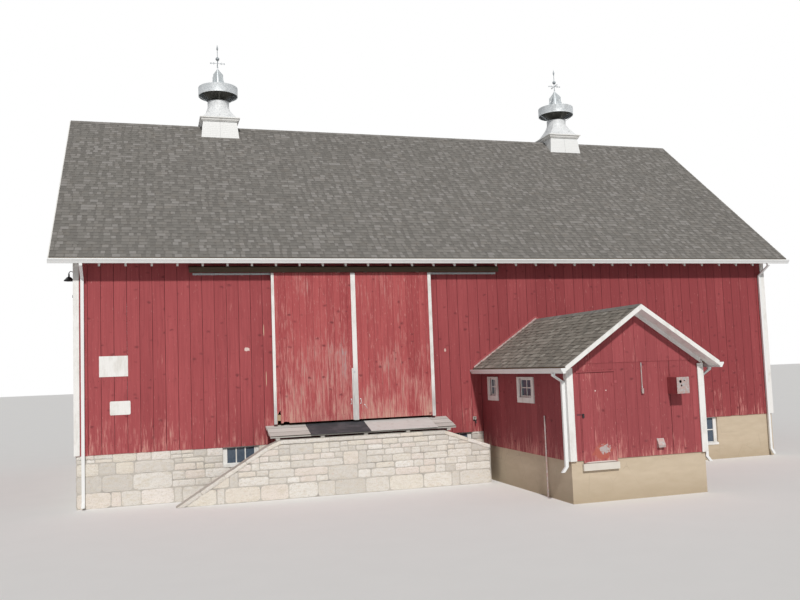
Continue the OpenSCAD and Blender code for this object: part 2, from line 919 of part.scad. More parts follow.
module window_frames() {
    color(white) placed() {
        for (w = wing_win) wing_sash(w);
        wing_to_right() for (w = wing_win) wing_sash(w);
        cellar_frame(front_list[0], 2, 1);
        cellar_frame(front_list[1], 2, 1);
        cellar_frame(front_list[2], 2, 2);
        to_back() for (w = back_list) cellar_frame(w, 2, 1);
        at_sides() cellar_frame([0, cellar_w, cellar_h], 2, 1);
    }
}

module window_panes() {
    color(pane) placed() difference() {
        union() {
            for (w = front_list) cellar_pane(w);
            to_back() for (w = back_list) cellar_pane(w);
            at_sides() cellar_pane([0, cellar_w, cellar_h]);
            for (w = wing_win) wing_pane(w);
            wing_to_right() for (w = wing_win) wing_pane(w);
        }
        cellar_frame(front_list[0], 2, 1);
        cellar_frame(front_list[1], 2, 1);
        cellar_frame(front_list[2], 2, 2);
        to_back() for (w = back_list) cellar_frame(w, 2, 1);
        at_sides() cellar_frame([0, cellar_w, cellar_h], 2, 1);
    }
}

// A swan-neck lamp on the left gable, near the front corner
lamp_y = 420;
lamp_z = base_h + 4500;

module wall_fixtures() {
    color(dark) placed() translate([-0.3, lamp_y, lamp_z]) {
        translate([-12, 0, -60]) rotate([0, 90, 0]) cylinder(r = 45, h = 12, $fn = 32);
        translate([-50, 0, -60]) rotate([0, 90, 0]) cylinder(r = 9, h = 40, $fn = 20);
        translate([-100, 0, -60]) rotate([90, 0, 180])
            rotate_extrude(angle = 180, $fn = 40) translate([50, 0]) circle(r = 9, $fn = 20);
        translate([-150, 0, -250])
            rotate_extrude($fn = 48)
                polygon([[0, 191], [16, 191], [22, 110], [52, 92], [118, 20], [122, 0], [116, 0], [48, 82], [0, 92]]);
    }
    color(dark) placed() {
        translate([-0.3, lamp_y - 10, base_h + 3810]) {
            block([-8, -45, 0], [0, 45, 110]);
            block([-70, -30, 20], [-7, 30, 90]);
        }
        tap();
    }
}

// A frost-proof tap on its plate, by the wing
module tap() {
    translate([wing_x - 245, -0.3, base_h + 330]) {
        block([-50, -6, -60], [50, 0, 60]);
        translate([0, -5, 0]) rotate([90, 0, 0]) cylinder(r = 14, h = 55, $fn = 24);
        translate([0, -48, -8]) rotate([-25, 0, 0]) translate([0, 0, -130]) cylinder(r = 13, h = 140, $fn = 24);
        translate([0, -50, 0]) cylinder(r = 7, h = 50, $fn = 20);
        translate([0, -50, 46]) rotate_extrude($fn = 40) translate([24, 0]) circle(r = 5, $fn = 16);
        block([-24, -54, 42], [24, -46, 50]);
    }
}

// Ventilators: white base box, flared sheet hood, wind band with cap, finial
vent_x = [vent_in, barn_len - vent_in];
vent_z = ridge_z;
cornice_z = vent_z + vent_base_h;
hood_foot = cornice_z + vent_cornice_h;
neck_z = hood_foot + vent_flare_h;
mouth_z = neck_z + vent_neck_h;
band_z = mouth_z + vent_band_gap;
band_top = band_z + vent_band_h;
sheet_t = 8;
cap_rise = 150;
finial_z = band_top + cap_rise;

module at_vents() {
    for (x = vent_x) translate([x, barn_w / 2, 0]) children();
}

module frustum(w0, w1, z0, z1) {
    hull() {
        translate([-w0 / 2, -w0 / 2, z0]) cube([w0, w0, 0.1]);
        translate([-w1 / 2, -w1 / 2, z1 - 0.1]) cube([w1, w1, 0.1]);
    }
}

module under_roof(deep) {
    translate([0, -barn_w / 2, 0]) along_x(-1000, 1000)
        polygon([
            [barn_w / 2 - deep, roof_z(barn_w / 2 - deep)],
            [barn_w / 2, ridge_z],
            [barn_w / 2 + deep, roof_z(barn_w / 2 + deep)],
            [barn_w / 2 + deep, ridge_z - 2 * deep],
            [barn_w / 2 - deep, ridge_z - 2 * deep]
        ]);
}

module vent_bases() {
    low = vent_z - vent_w / 2 * tan_p - 40;
    board = 28;
    color(white) placed() at_vents() {
        difference() {
            frustum(vent_w, vent_top_w, low, cornice_z);
            frustum(vent_w - 2 * board, vent_top_w - 2 * board, low - seam, cornice_z + seam);
            translate([0, 0, 0.3]) under_roof(900);
        }
        difference() {
            frustum(vent_top_w + 60, vent_cornice_w, cornice_z - seam, hood_foot);
            translate([0, 0, -seam]) frustum(vent_top_w - 2 * board, vent_hood_w - 60, cornice_z - seam, hood_foot + 3 * seam);
        }
    }
}

// Square-to-round rings: share 0 is the square foot, share 1 the round neck
ring_n = 32;
function square_r(a, half) = half / max(abs(cos(a)), abs(sin(a)));
function ring(z, half, r, share) =
    [for (i = [0:ring_n - 1])
        let (a = i * 360 / ring_n, d = (1 - share) * square_r(a, half) + share * r)
            [d * cos(a), d * sin(a), z]];
flare_steps = 7;
// the flare's edge is a quarter wave, steep at the neck and flat at the foot
function flare_ring(k, inset) =
    let (s = k / flare_steps, open = pow(1 - s, 2.1), share = sin(s * 90))
        ring(hood_foot + s * vent_flare_h,
            vent_neck_r + (vent_hood_w / 2 - vent_neck_r) * open - inset,
            vent_neck_r + (vent_hood_w / 2 - vent_neck_r) * open * 0.9 - inset, share);
function skin(rings, n) =
    [for (k = [0:rings - 2]) for (i = [0:n - 1]) for (half = [0, 1])
        half == 0 ? [k * n + i, (k + 1) * n + i, (k + 1) * n + (i + 1) % n]
            : [k * n + i, (k + 1) * n + (i + 1) % n, k * n + (i + 1) % n]];

module flare_body(inset, stretch) {
    rings = concat(
        stretch > 0 ? [[for (q = flare_ring(0, inset)) q - [0, 0, stretch]]] : [],
        [for (k = [0:flare_steps]) flare_ring(k, inset)],
        [[for (q = flare_ring(flare_steps, inset)) q + [0, 0, vent_neck_h + stretch]]]);
    n = len(rings);
    points = concat([for (r = rings) for (q = r) q],
        [[0, 0, rings[0][0][2]], [0, 0, rings[n - 1][0][2]]]);
    faces = concat(
        skin(n, ring_n),
        [for (i = [0:ring_n - 1]) [i, (i + 1) % ring_n, n * ring_n]],
        [for (i = [0:ring_n - 1]) [(n - 1) * ring_n + (i + 1) % ring_n, (n - 1) * ring_n + i, n * ring_n + 1]]);
    polyhedron(points, faces, convexity = 6);
}

module vent_hoods() {
    color(metal) placed() at_vents() translate([0, 0, 0.3]) difference() {
        flare_body(0, 0);
        flare_body(sheet_t, 5);
    }
}

straps = 4;
cone_h = 540;

module strap() {
    along_y(-20, 20)
        polygon([
            [vent_neck_r + 0.3, mouth_z - 110],
            [vent_neck_r + 8, mouth_z - 110],
            [vent_neck_r + 14, mouth_z - 44],
            [vent_band_r - 10, band_z - 4],
            [vent_band_r - sheet_t + 1, band_z + 60],
            [vent_band_r - sheet_t - 7, band_z + 60],
            [vent_band_r - 20, band_z + 4],
            [vent_neck_r + 6, mouth_z - 34],
            [vent_neck_r + 0.3, mouth_z - 44]
        ]);
}

// The storm baffle: an inverted cone hung in the wind band, over the neck's mouth
baffle_r = 495;

module baffle() {
    rotate_extrude($fn = 60)
        polygon([
            [0, mouth_z + 40],
            [130, mouth_z + 40],
            [baffle_r, band_z + 118],
            [baffle_r, band_z + 130],
            [128, mouth_z + 50],
            [0, mouth_z + 50]
        ]);
    for (i = [0:straps - 1])
        rotate([0, 0, i * 360 / straps])
            block([baffle_r - 12, -12, band_z + 108], [baffle_r - 4, 12, band_z + vent_band_h + 24]);
}

module vent_caps() {
    color(metal) placed() at_vents() {
        translate([0, 0, band_z]) rotate_extrude($fn = 72)
            polygon([
                [vent_band_r - sheet_t, 0],
                [vent_band_r, 0],
                [vent_band_r, vent_band_h],
                [100, vent_band_h + cap_rise - 8],
                [92, vent_band_h + cap_rise],
                [12, vent_band_h + cap_rise + cone_h],
                [0, vent_band_h + cap_rise + cone_h],
                [0, vent_band_h + cap_rise - 20],
                [40, vent_band_h + cap_rise - 22],
                [vent_band_r - sheet_t, vent_band_h - 12]
            ]);
        for (i = [0:straps - 1]) rotate([0, 0, 45 + i * 360 / straps]) strap();
        for (i = [0:straps - 1]) rotate([0, 0, i * 360 / straps]) fin();
        baffle();
    }
}

// One pierced ogee fin of the spire, from the cap's slope up to its tip
module fin() {
    along_y(-3, 3) difference() {
        polygon([
            [1, finial_z - 14],
            [232, finial_z - 58],
            [236, finial_z - 22],
            [208, finial_z + 50],
            [214, finial_z + 105],
            [190, finial_z + 150],
            [202, finial_z + 196],
            [180, finial_z + 262],
            [146, finial_z + 290],
            [108, finial_z + 330],
            [66, finial_z + 402],
            [34, finial_z + 474],
            [1, finial_z + cone_h - 2]
        ]);
        translate([152, finial_z + 232]) circle(r = 20, $fn = 24);
        translate([150, finial_z + 92]) circle(r = 24, $fn = 24);
        translate([96, finial_z + 292]) circle(r = 14, $fn = 24);
    }
}

module vent_finials() {
    foot = finial_z + cone_h + 0.3;
    tip = finial_z + 1330;
    arm_z = finial_z + 690;
    color(metal) placed() at_vents() {
        translate([0, 0, foot]) cylinder(r = 10, h = tip - foot - 200, $fn = 24);
        translate([0, 0, foot]) cylinder(r = 20, h = 36, $fn = 24);
        translate([0, 0, finial_z + 840]) sphere(r = 62, $fn = 24);
        translate([0, 0, tip - 210]) rotate_extrude($fn = 24)
            polygon([[0, 0], [12, 0], [30, 60], [26, 100], [8, 170], [0, 210]]);
        for (i = [0:3])
            rotate([0, 0, i * 90]) {
                translate([0, 0, arm_z]) rotate([0, 90, 0]) cylinder(r = 6, h = 235, $fn = 16);
                translate([120, 0, arm_z]) rotate([90, 0, 0]) rotate_extrude($fn = 20)
                    translate([28, 0]) circle(r = 5, $fn = 16);
                translate([215, 0, arm_z]) rotate([90, 0, 0]) rotate_extrude($fn = 20)
                    translate([20, 0]) circle(r = 5, $fn = 16);
            }
    }
}

// Wing
wing_in = siding_t;

module wing_foundation() {
    color(parge) placed() difference() {
        block([wing_x + wing_in, wing_front + wing_in, 0], [wing_r - wing_in, siding_t - 0.3, wing_foot]);
        block([wing_x + wing_in + wing_base_t, wing_front + wing_in + wing_base_t, -seam],
            [wing_r - wing_in - wing_base_t, siding_t + seam, wing_foot + seam]);
        block([wdoor_l, wing_front, wing_floor_z], [wdoor_r, wing_front + wing_in + wing_base_t + seam, wing_foot + seam]);
    }
    color(parge) placed()
        block([wdoor_l - 35, wing_front - 55, wing_floor_z - 150], [wdoor_r + 5, wing_front + wing_in + 10, wing_floor_z]);
}

module wing_floor() {
    color(parge) placed()
        block([wing_x + wing_in + wing_base_t, wing_front + wing_in + wing_base_t, wing_floor_z - 120],
            [wing_r - wing_in - wing_base_t, siding_t - 0.3, wing_floor_z]);
}

module wing_front_wall() {
    color(red) placed() {
        block([wing_x, wing_front, wing_foot - lap], [wdoor_l, wing_front + siding_t, wing_front_top]);
        block([wing_x + wall_t, wing_front + siding_t - seam, wing_foot], [wdoor_l, wing_front + wall_t, wing_front_top]);
        block([wdoor_r, wing_front, wing_foot - lap], [wing_r, wing_front + siding_t, wing_front_top]);
        for (z = [wing_foot, wing_foot + wing_wall_h * 0.48, wing_front_top - rail_h])
            block([wdoor_r, wing_front + siding_t - seam, z], [wing_r - wall_t, wing_front + wall_t, z + rail_h]);
        wall_box();
    }
}

// A boarded box on the wall, open at the front behind its sheet plate
box_l = wing_x + 2550;
box_w = 310;
box_h = 370;
box_out = 374;

module wall_box() {
    difference() {
        block([box_l, wing_front - box_out, base_h + 1000], [box_l + box_w, wing_front + seam, base_h + 1000 + box_h]);
        block([box_l + 18, wing_front - box_out - seam, base_h + 1018],
            [box_l + box_w - 18, wing_front - 18, base_h + 1000 + box_h - 18]);
    }
}

// The boards over the doorway and in the gable lap over the wall boards below
gable_lap = 12;
gable_drop = 55;

module wing_gable() {
    gap = wing_roof_v + 0.2;
    foot = wing_front_top - gable_drop;
    top = wing_front_top + 20;
    color(red) placed() {
        along_y(wing_front - gable_lap, wing_front)
            polygon([
                [wing_x, foot],
                [wing_r, foot],
                [wing_r, wing_roof_z(wing_r) - gap],
                [wing_mid, wing_ridge_z - gap],
                [wing_x, wing_roof_z(wing_x) - gap]
            ]);
        along_y(wing_front - seam, wing_front + siding_t)
            polygon([
                [wing_x, wing_front_top],
                [wing_r, wing_front_top],
                [wing_r, wing_roof_z(wing_r) - gap],
                [wing_mid, wing_ridge_z - gap],
                [wing_x, wing_roof_z(wing_x) - gap]
            ]);
        block([wdoor_l, wing_front - seam, wdoor_top], [wdoor_r, wing_front + siding_t, top]);
        block([wing_x + 220, wing_front - 20, wdoor_top + 2], [wdoor_r + 15, wing_front - 0.2, wdoor_top + 42]);
        block([wdoor_l, wing_front + siding_t - seam, wdoor_top], [wdoor_r, wing_front + wall_t, top]);
    }
}

module wing_side() {
    h = wing_roof_z(wing_x) - wing_roof_v - 0.2;
    difference() {
        union() {
            block([wing_x, wing_front + siding_t, wing_foot - lap], [wing_x + siding_t, -0.3, h]);
            for (z = [wing_foot, wing_foot + wing_wall_h * 0.42, h - rail_h])
                block([wing_x + siding_t - seam, wing_front + wall_t, z], [wing_x + wall_t, -0.3, z + rail_h]);
            for (w = wing_win)
                block([wing_x + siding_t - seam, w[0] - 60, wwin_z - 60],
                    [wing_x + wall_t, w[0] + w[1] + 60, wwin_z + w[2] + 60]);
        }
        for (w = wing_win)
            block([wing_x - seam, w[0], wwin_z], [wing_x + wall_t + seam, w[0] + w[1], wwin_z + w[2]]);
    }
}

module wing_side_walls() {
    color(red) placed() {
        wing_side();
        wing_to_right() wing_side();
    }
}

module wing_roof_half() {
    along_y(wing_tip + trim_t, -0.3)
        polygon([
            [wing_x - wing_eave, wing_roof_z(wing_x - wing_eave) - wing_roof_v],
            [wing_x - wing_eave, wing_roof_z(wing_x - wing_eave)],
            [wing_mid, wing_ridge_z],
            [wing_mid, wing_ridge_z - wing_roof_v]
        ]);
}

module wing_roof_left() {
    color(shingle) placed() wing_roof_half();
}

module wing_roof_right() {
    color(shingle) placed() wing_to_right() wing_roof_half();
}

soffit_t = 10;
frieze_h = 90;

// a strip under the wing's left slope, between two drops below the roof's top
module wing_strip(y0, y1, drop0, drop1, x0, x1) {
    along_y(y0, y1)
        polygon([
            [x0, wing_roof_z(x0) - drop0],
            [x1, wing_roof_z(x1) - drop0],
            [x1, wing_roof_z(x1) - drop1],
            [x0, wing_roof_z(x0) - drop1]
        ]);
}

module wing_trim_half() {
    x0 = wing_x - wing_eave;
    x1 = wing_mid - seam / 2;
    face = wing_front - gable_lap;
    soffit = wing_rake_low + wing_rake_h - 2;
    wing_strip(wing_tip, wing_tip + trim_t, wing_rake_low, wing_rake_low + wing_rake_h, x0, x1);
    wing_strip(wing_tip + trim_t - seam, face - 0.2, soffit - soffit_t, soffit, x0, x1);
    wing_strip(face - trim_t, face - 0.2, soffit - seam, soffit + frieze_h, wing_x + 30, x1);
    z1 = wing_roof_z(wing_x - trim_t) - soffit - 5;
    block([wing_x - trim_t, face - trim_t, wing_foot - lap], [wing_x + 130, face - 0.2, z1 - 60]);
    block([wing_x - trim_t, face - seam, wing_foot - lap], [wing_x - 0.2, wing_front + 110, z1]);
    for (w = wing_win) difference() {
        block([wing_x - casing_t, w[0] - casing_w, wwin_z - casing_w], [wing_x - 0.2, w[0] + w[1] + casing_w, wwin_z + w[2] + 30]);
        block([wing_x - casing_t - seam, w[0], wwin_z], [wing_x + seam, w[0] + w[1], wwin_z + w[2]]);
    }
}

module wing_trim() {
    color(white) placed() {
        wing_trim_half();
        wing_to_right() wing_trim_half();
    }
}

module wing_sash(w) {
    sash = 45;
    x = wing_x + 20;
    difference() {
        block([x, w[0] + 0.3, wwin_z + 0.3], [x + 40, w[0] + w[1] - 0.3, wwin_z + w[2] - 0.3]);
        block([x - seam, w[0] + sash, wwin_z + sash], [x + 41, w[0] + w[1] - sash, wwin_z + w[2] - sash]);
    }
    block([x + 5, w[0] + w[1] / 2 - 11, wwin_z + sash - seam], [x + 17, w[0] + w[1] / 2 + 11, wwin_z + w[2] - sash + seam]);
    block([x + 5, w[0] + sash - seam, wwin_z + w[2] / 2 - 11], [x + 17, w[0] + w[1] - sash + seam, wwin_z + w[2] / 2 + 11]);
}

module wing_pane(w) {
    sash = 45;
    block([wing_x + 38, w[0] + sash + 0.3, wwin_z + sash + 0.3],
        [wing_x + 43, w[0] + w[1] - sash - 0.3, wwin_z + w[2] - sash - 0.3]);
}

// The wing's door turns on pins in front of its right edge
hinge_z = [wing_floor_z + 300, wdoor_top - 316];
knuckle_h = 60;

module wing_door() {
    x0 = wdoor_l + wleaf_gap;
    x1 = wdoor_r - wleaf_gap;
    z0 = wing_floor_z + 10;
    z1 = wdoor_top - 8;
    color(red) placed() {
        block([x0, wing_front, z0], [x1, wing_front + siding_t, z1]);
        for (z = [z0 + 90, (z0 + z1) / 2 - 60, z1 - 210])
            block([x0 + 20, wing_front + siding_t - 0.1, z], [x1 - 20, wing_front + 2 * siding_t, z + 120]);
        for (z = hinge_z) {
            translate([wdoor_r - wleaf_gap / 2, wpin_y, z]) cylinder(r = wpin_r, h = knuckle_h, $fn = 24);
            block([wdoor_r - 75, wpin_y, z], [wdoor_r - wleaf_gap / 2, wpin_y + 4, z + knuckle_h]);
            block([wdoor_r - 75, wpin_y + 3, z], [wdoor_r - 20, wing_front + 0.1, z + knuckle_h]);
        }
        hasp(x0);
    }
}

// The hasp's plate and its padlock hang on the leaf, the staple's plate on the jamb
hasp_z = base_h + 630;

module hasp(x0) {
    block([x0 + 4, wing_front - 5, hasp_z - 18], [x0 + 60, wing_front + 0.1, hasp_z + 18]);
    translate([x0 + 28, wing_front - 16, hasp_z - 6]) rotate([0, 90, 90]) rotate_extrude($fn = 40)
        translate([16, 0]) circle(r = 4, $fn = 16);
    block([x0 + 6, wing_front - 28, hasp_z - 68], [x0 + 50, wing_front - 6, hasp_z - 18]);
    block([x0 + 22, wing_front - 14, hasp_z - 8], [x0 + 34, wing_front + 0.1, hasp_z + 4]);
}

module fixed_knuckles() {
    for (z = hinge_z) {
        z2 = z + knuckle_h + 0.5;
        translate([wdoor_r - wleaf_gap / 2, wpin_y, z2]) cylinder(r = wpin_r, h = knuckle_h, $fn = 24);
        block([wdoor_r - wleaf_gap / 2, wpin_y, z2], [wdoor_r + 60, wpin_y + 4, z2 + knuckle_h]);
        block([wdoor_r + 15, wpin_y + 3, z2], [wdoor_r + 60, wing_front - 0.2, z2 + knuckle_h]);
    }
}

// A plate with three round holes over the wall box
module box_plate() {
    translate([0, wing_front - box_out - 0.3, 0]) rotate([90, 0, 0]) linear_extrude(6)
        translate([box_l - 6, base_h + 1000]) difference() {
            square([box_w + 12, box_h]);
            translate([95, 270]) circle(r = 34, $fn = 32);
            translate([120, 180]) circle(r = 22, $fn = 28);
            translate([195, 290]) circle(r = 16, $fn = 28);
        }
}

// An outlet with a sloping hood, open below
module outlet(x, z) {
    difference() {
        along_x(x, x + 180)
            polygon([
                [wing_front - 0.2, z],
                [wing_front - 85, z],
                [wing_front - 85, z + 60],
                [wing_front - 14, z + 200],
                [wing_front - 0.2, z + 200]
            ]);
        along_x(x + 6, x + 174)
            polygon([
                [wing_front - 8, z - 1],
                [wing_front - 79, z - 1],
                [wing_front - 79, z + 56],
                [wing_front - 14, z + 186],
                [wing_front - 8, z + 186]
            ]);
    }
}

// The sheet flashing where the wing's roof meets the barn's boards
module flashing() {
    wing_strip(-5, -1, -95, -0.3, wing_x - wing_eave + 20, wing_mid - 0.5);
    wing_strip(-70, -4, -4, -0.3, wing_x - wing_eave + 20, wing_mid - 0.5);
}

module wing_fittings() {
    color(metal) placed() {
        fixed_knuckles();
        box_plate();
        outlet(wing_x + 2180, base_h - 200);
        translate([wing_x + 1880, wing_front - 16, base_h + 1040]) cylinder(r = 14, h = 690, $fn = 20);
        block([wing_x + 1868, wing_front - 4, base_h + 1400], [wing_x + 1892, wing_front - 0.2, base_h + 1430]);
        translate([wing_x + 1880, wing_front - 31, base_h + 1030]) cylinder(r = 30, h = 120, $fn = 24);
        block([wdoor_l - 118, wing_front - 4, hasp_z - 16], [wdoor_l - 6, wing_front - 0.2, hasp_z + 16]);
        flashing();
        wing_to_right() flashing();
        translate([wing_x - 22, -3820, 0]) cylinder(r = 17, h = base_h + 570, $fn = 24);
        for (z = [base_h - 250, base_h + 300])
            block([wing_x - 10, -3836, z], [wing_x - 0.3, -3804, z + 30]);
    }
}

foundation_front_left();
foundation_front_right();
foundation_back();
foundation_sides();
bridge_wall();
bridge_deck();
bridge_mat();
bridge_sheet();
floor_beams();
barn_floor();
front_wall_left();
front_wall_right();
front_wall_header();
back_wall();
left_gable_wall();
right_gable_wall();
frame_posts();
frame_beams();
rafters_front();
rafters_back();
roof_front();
roof_back();
barn_trim();
gutters();
downspouts();
door_track();
track_hood();
left_door();
cover_strip();
right_door();
left_irons();
right_irons();
window_frames();
window_panes();
wall_fixtures();
vent_bases();
vent_hoods();
vent_caps();
vent_finials();
wing_foundation();
wing_floor();
wing_front_wall();
wing_gable();
wing_side_walls();
wing_roof_left();
wing_roof_right();
wing_trim();
wing_door();
wing_fittings();
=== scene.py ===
# %% [markdown]
# # A timber barn with sliding doors, two roof ventilators and an entrance wing
# The barn's construction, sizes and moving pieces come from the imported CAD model, which is
# loaded first and never changed. This script gives it its looks: boards, shingles, coursed
# stone, plaster, sheet metal and glass, each as a piece or a procedural material.

# %% Load the fixed frame
import bpy
import bmesh
import math
import random
from mathutils import Matrix, Vector


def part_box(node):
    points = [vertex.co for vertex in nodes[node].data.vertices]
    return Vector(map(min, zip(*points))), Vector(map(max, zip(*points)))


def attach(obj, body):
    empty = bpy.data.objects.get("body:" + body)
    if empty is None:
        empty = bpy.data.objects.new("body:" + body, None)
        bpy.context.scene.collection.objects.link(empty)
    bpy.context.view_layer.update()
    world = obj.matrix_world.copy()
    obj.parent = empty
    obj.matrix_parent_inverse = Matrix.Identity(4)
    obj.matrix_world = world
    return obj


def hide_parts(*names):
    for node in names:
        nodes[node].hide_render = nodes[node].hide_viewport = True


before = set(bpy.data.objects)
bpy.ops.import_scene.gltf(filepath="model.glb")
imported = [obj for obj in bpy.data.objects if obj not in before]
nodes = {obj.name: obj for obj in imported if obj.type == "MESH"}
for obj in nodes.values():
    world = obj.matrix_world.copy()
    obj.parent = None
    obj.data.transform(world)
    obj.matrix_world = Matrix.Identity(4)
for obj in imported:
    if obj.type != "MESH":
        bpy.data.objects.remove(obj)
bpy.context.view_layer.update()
scene = bpy.context.scene

# %% [markdown]
# The camera stands where the photographer stood: low, in front of the left half of the barn,
# and turned to the right. Its place was found by matching corners of the barn with the
# photograph, so the perspective is the same. The lens of that photograph bends straight
# lines a little, and a plain camera doesn't, so the match is best in the middle.

# %% The camera
def looking(yaw, pitch, roll):
    """Camera axes from a turn to the right of +Y, a tilt upwards and a roll, in degrees."""
    yaw, pitch, roll = (math.radians(a) for a in (yaw, pitch, roll))
    ahead = Vector((math.sin(yaw) * math.cos(pitch), math.cos(yaw) * math.cos(pitch), math.sin(pitch)))
    right = Vector((math.cos(yaw), -math.sin(yaw), 0))
    up = right.cross(ahead)
    right_rolled = math.cos(roll) * right + math.sin(roll) * up
    up_rolled = -math.sin(roll) * right + math.cos(roll) * up
    return Matrix((right_rolled, up_rolled, -ahead)).transposed()


camera = bpy.data.objects.new("photo_camera", bpy.data.cameras.new("photo_camera"))
scene.collection.objects.link(camera)
camera.data.sensor_fit = "HORIZONTAL"
camera.data.sensor_width = 36
camera.data.lens = 36 * 827.03 / 800
camera.data.clip_end = 500
camera.matrix_world = Matrix.Translation((-8.3095, -24.5785, 3.1513)) @ looking(16.8135, 4.5552, -2.1111).to_4x4()
scene.camera = camera
print("camera at", [round(v, 2) for v in camera.location], "lens %.1f mm" % camera.data.lens)

# %% [markdown]
# ## Two small helpers
# Every shader and every Geometry Nodes tree below is built with one function that adds a
# node with its settings and links. Colours are written as sRGB hex values, as a colour
# picker shows them, and turned to the linear values that Blender works with.

# %% One function for every node, and colours from hex values
def add(tree, kind, inputs=None, stops=None, **settings):
    """Adds a node with its settings; inputs takes values, or sockets to link from."""
    node = tree.nodes.new(kind)
    for name, value in settings.items():
        setattr(node, name, value)
    for place, value in (inputs or {}).items():
        if isinstance(value, bpy.types.NodeSocket):
            tree.links.new(value, node.inputs[place])
        else:
            node.inputs[place].default_value = value
    if stops:
        for spare in stops[2:]:
            node.color_ramp.elements.new(0.5)
        for element, (position, colour) in zip(node.color_ramp.elements, stops):
            element.position = position
            element.color = colour
    return node


def paint(code):
    """An sRGB hex colour, such as "#A85052", as linear RGBA."""
    values = [int(code[i:i + 2], 16) / 255 for i in (1, 3, 5)]
    return tuple(v / 12.92 if v <= 0.04045 else ((v + 0.055) / 1.055) ** 2.4 for v in values) + (1.0,)


# %% [markdown]
# ## Light and floor
# The light is plain: a soft sun almost straight in front, a little to the left, and an even
# pale sky that fills the shadows. The shadow of the wall box shows where the sun stood: it
# falls down and slightly right. So the wing's left wall lies in its own eave's shadow. What
# the camera, a shiny surface or a window sees of the sky is white.

# %% Sky and sun
world = bpy.data.worlds.new("studio_sky")
scene.world = world
world.use_nodes = True
sky = world.node_tree
sky.nodes.clear()
ray = add(sky, "ShaderNodeLightPath")
seen = add(sky, "ShaderNodeMath", {0: ray.outputs["Is Camera Ray"], 1: ray.outputs["Is Glossy Ray"]}, operation="MAXIMUM")
seen = add(sky, "ShaderNodeMath", {0: seen.outputs[0], 1: ray.outputs["Is Transmission Ray"]}, operation="MAXIMUM")
fill = add(sky, "ShaderNodeBackground", {"Color": (0.93, 0.96, 1.0, 1), "Strength": 0.21})
white = add(sky, "ShaderNodeBackground", {"Color": (1, 1, 1, 1), "Strength": 1.0})
both = add(sky, "ShaderNodeMixShader", {0: seen.outputs[0], 1: fill.outputs[0], 2: white.outputs[0]})
add(sky, "ShaderNodeOutputWorld", {"Surface": both.outputs[0]})

sun = bpy.data.objects.new("soft_sun", bpy.data.lights.new("soft_sun", "SUN"))
scene.collection.objects.link(sun)
sun.data.energy = 2.6
sun.data.angle = math.radians(3)
sun.data.color = (1.0, 0.97, 0.93)
sun.rotation_mode = "QUATERNION"
sun.rotation_quaternion = Vector((0.09, 0.80, -0.60)).to_track_quat("-Z", "Y")
scene.view_settings.view_transform = "Standard"
print("sun strength", sun.data.energy)

# %% [markdown]
# ## Finishes
# Each finish is one material. Patterns read Object coordinates in metres, so a scale is the
# real size of the pattern turned over: marks 5 mm apart have a scale of 200. The pieces that
# Geometry Nodes lay down carry a number of their own, "tone", so that no two boards, stones
# or shingles are quite alike, and boards carry "across", which runs from -1 to 1 over the
# width of each board.

# %% The start of every material
def finish(name, roughness=0.6, metallic=0.0, specular=0.5):
    """A named material with its tree, shader and Object coordinates."""
    material = bpy.data.materials.new(name)
    material.use_nodes = True
    tree = material.node_tree
    tree.nodes.clear()
    shader = add(tree, "ShaderNodeBsdfPrincipled",
                 {"Roughness": roughness, "Metallic": metallic, "Specular IOR Level": specular})
    add(tree, "ShaderNodeOutputMaterial", {"Surface": shader.outputs[0]})
    where = add(tree, "ShaderNodeTexCoord").outputs["Object"]
    return material, tree, shader, where


def maths(tree, operation, *values):
    """One sum, and its result."""
    return add(tree, "ShaderNodeMath", dict(enumerate(values)), operation=operation).outputs[0]


def scaled(tree, where, spacing, shift=None):
    """Coordinates in units of spacing = (x, y, z) millimetres; shift moves them from board to board."""
    if shift is not None:
        along = maths(tree, "MULTIPLY", shift, 37.0)
        offset = add(tree, "ShaderNodeCombineXYZ", {0: along, 1: along, 2: along}).outputs[0]
        where = add(tree, "ShaderNodeVectorMath", {0: where, 1: offset}, operation="ADD").outputs[0]
    return add(tree, "ShaderNodeVectorMath", {0: where, 1: [1000 / s for s in spacing]}, operation="MULTIPLY").outputs[0]


def marks(tree, where, spacing, detail=5.0, roughness=0.55, shift=None):
    """Noise whose marks are spacing = (x, y, z) millimetres apart."""
    return add(tree, "ShaderNodeTexNoise", {"Vector": scaled(tree, where, spacing, shift), "Scale": 1.0,
                                            "Detail": detail, "Roughness": roughness}).outputs["Fac"]


def patch_at(tree, where, middle, half, ragged=0.5, soft=0.2):
    """1 inside a patch of a wall around middle = (x, z), half = (x, z) in size, and 0 outside its ragged, soft edge."""
    parts = add(tree, "ShaderNodeSeparateXYZ", {0: where}).outputs
    across = maths(tree, "DIVIDE", maths(tree, "ABSOLUTE", maths(tree, "SUBTRACT", parts[0], middle[0])), half[0])
    along = maths(tree, "DIVIDE", maths(tree, "ABSOLUTE", maths(tree, "SUBTRACT", parts[2], middle[1])), half[1])
    far = maths(tree, "MAXIMUM", across, along)
    if ragged:
        both = add(tree, "ShaderNodeCombineXYZ", {0: across, 1: along}).outputs[0]
        far = add(tree, "ShaderNodeVectorMath", {0: both}, operation="LENGTH").outputs["Value"]
    spacing = (480 * half[0], 480 * half[0], 480 * half[1])
    far = maths(tree, "MULTIPLY_ADD", marks(tree, where, spacing, 9.0, 0.7), ragged, far)
    return add(tree, "ShaderNodeMapRange", {0: far, 1: 1 - soft + ragged / 2, 2: 1 + ragged / 2, 3: 1.0, 4: 0.0}).outputs[0]


def blend(tree, share, low, high, mode="MIX"):
    """Two colours, or colour sockets, mixed by share."""
    return add(tree, "ShaderNodeMix", {0: share, 6: low, 7: high}, data_type="RGBA", blend_type=mode).outputs[2]


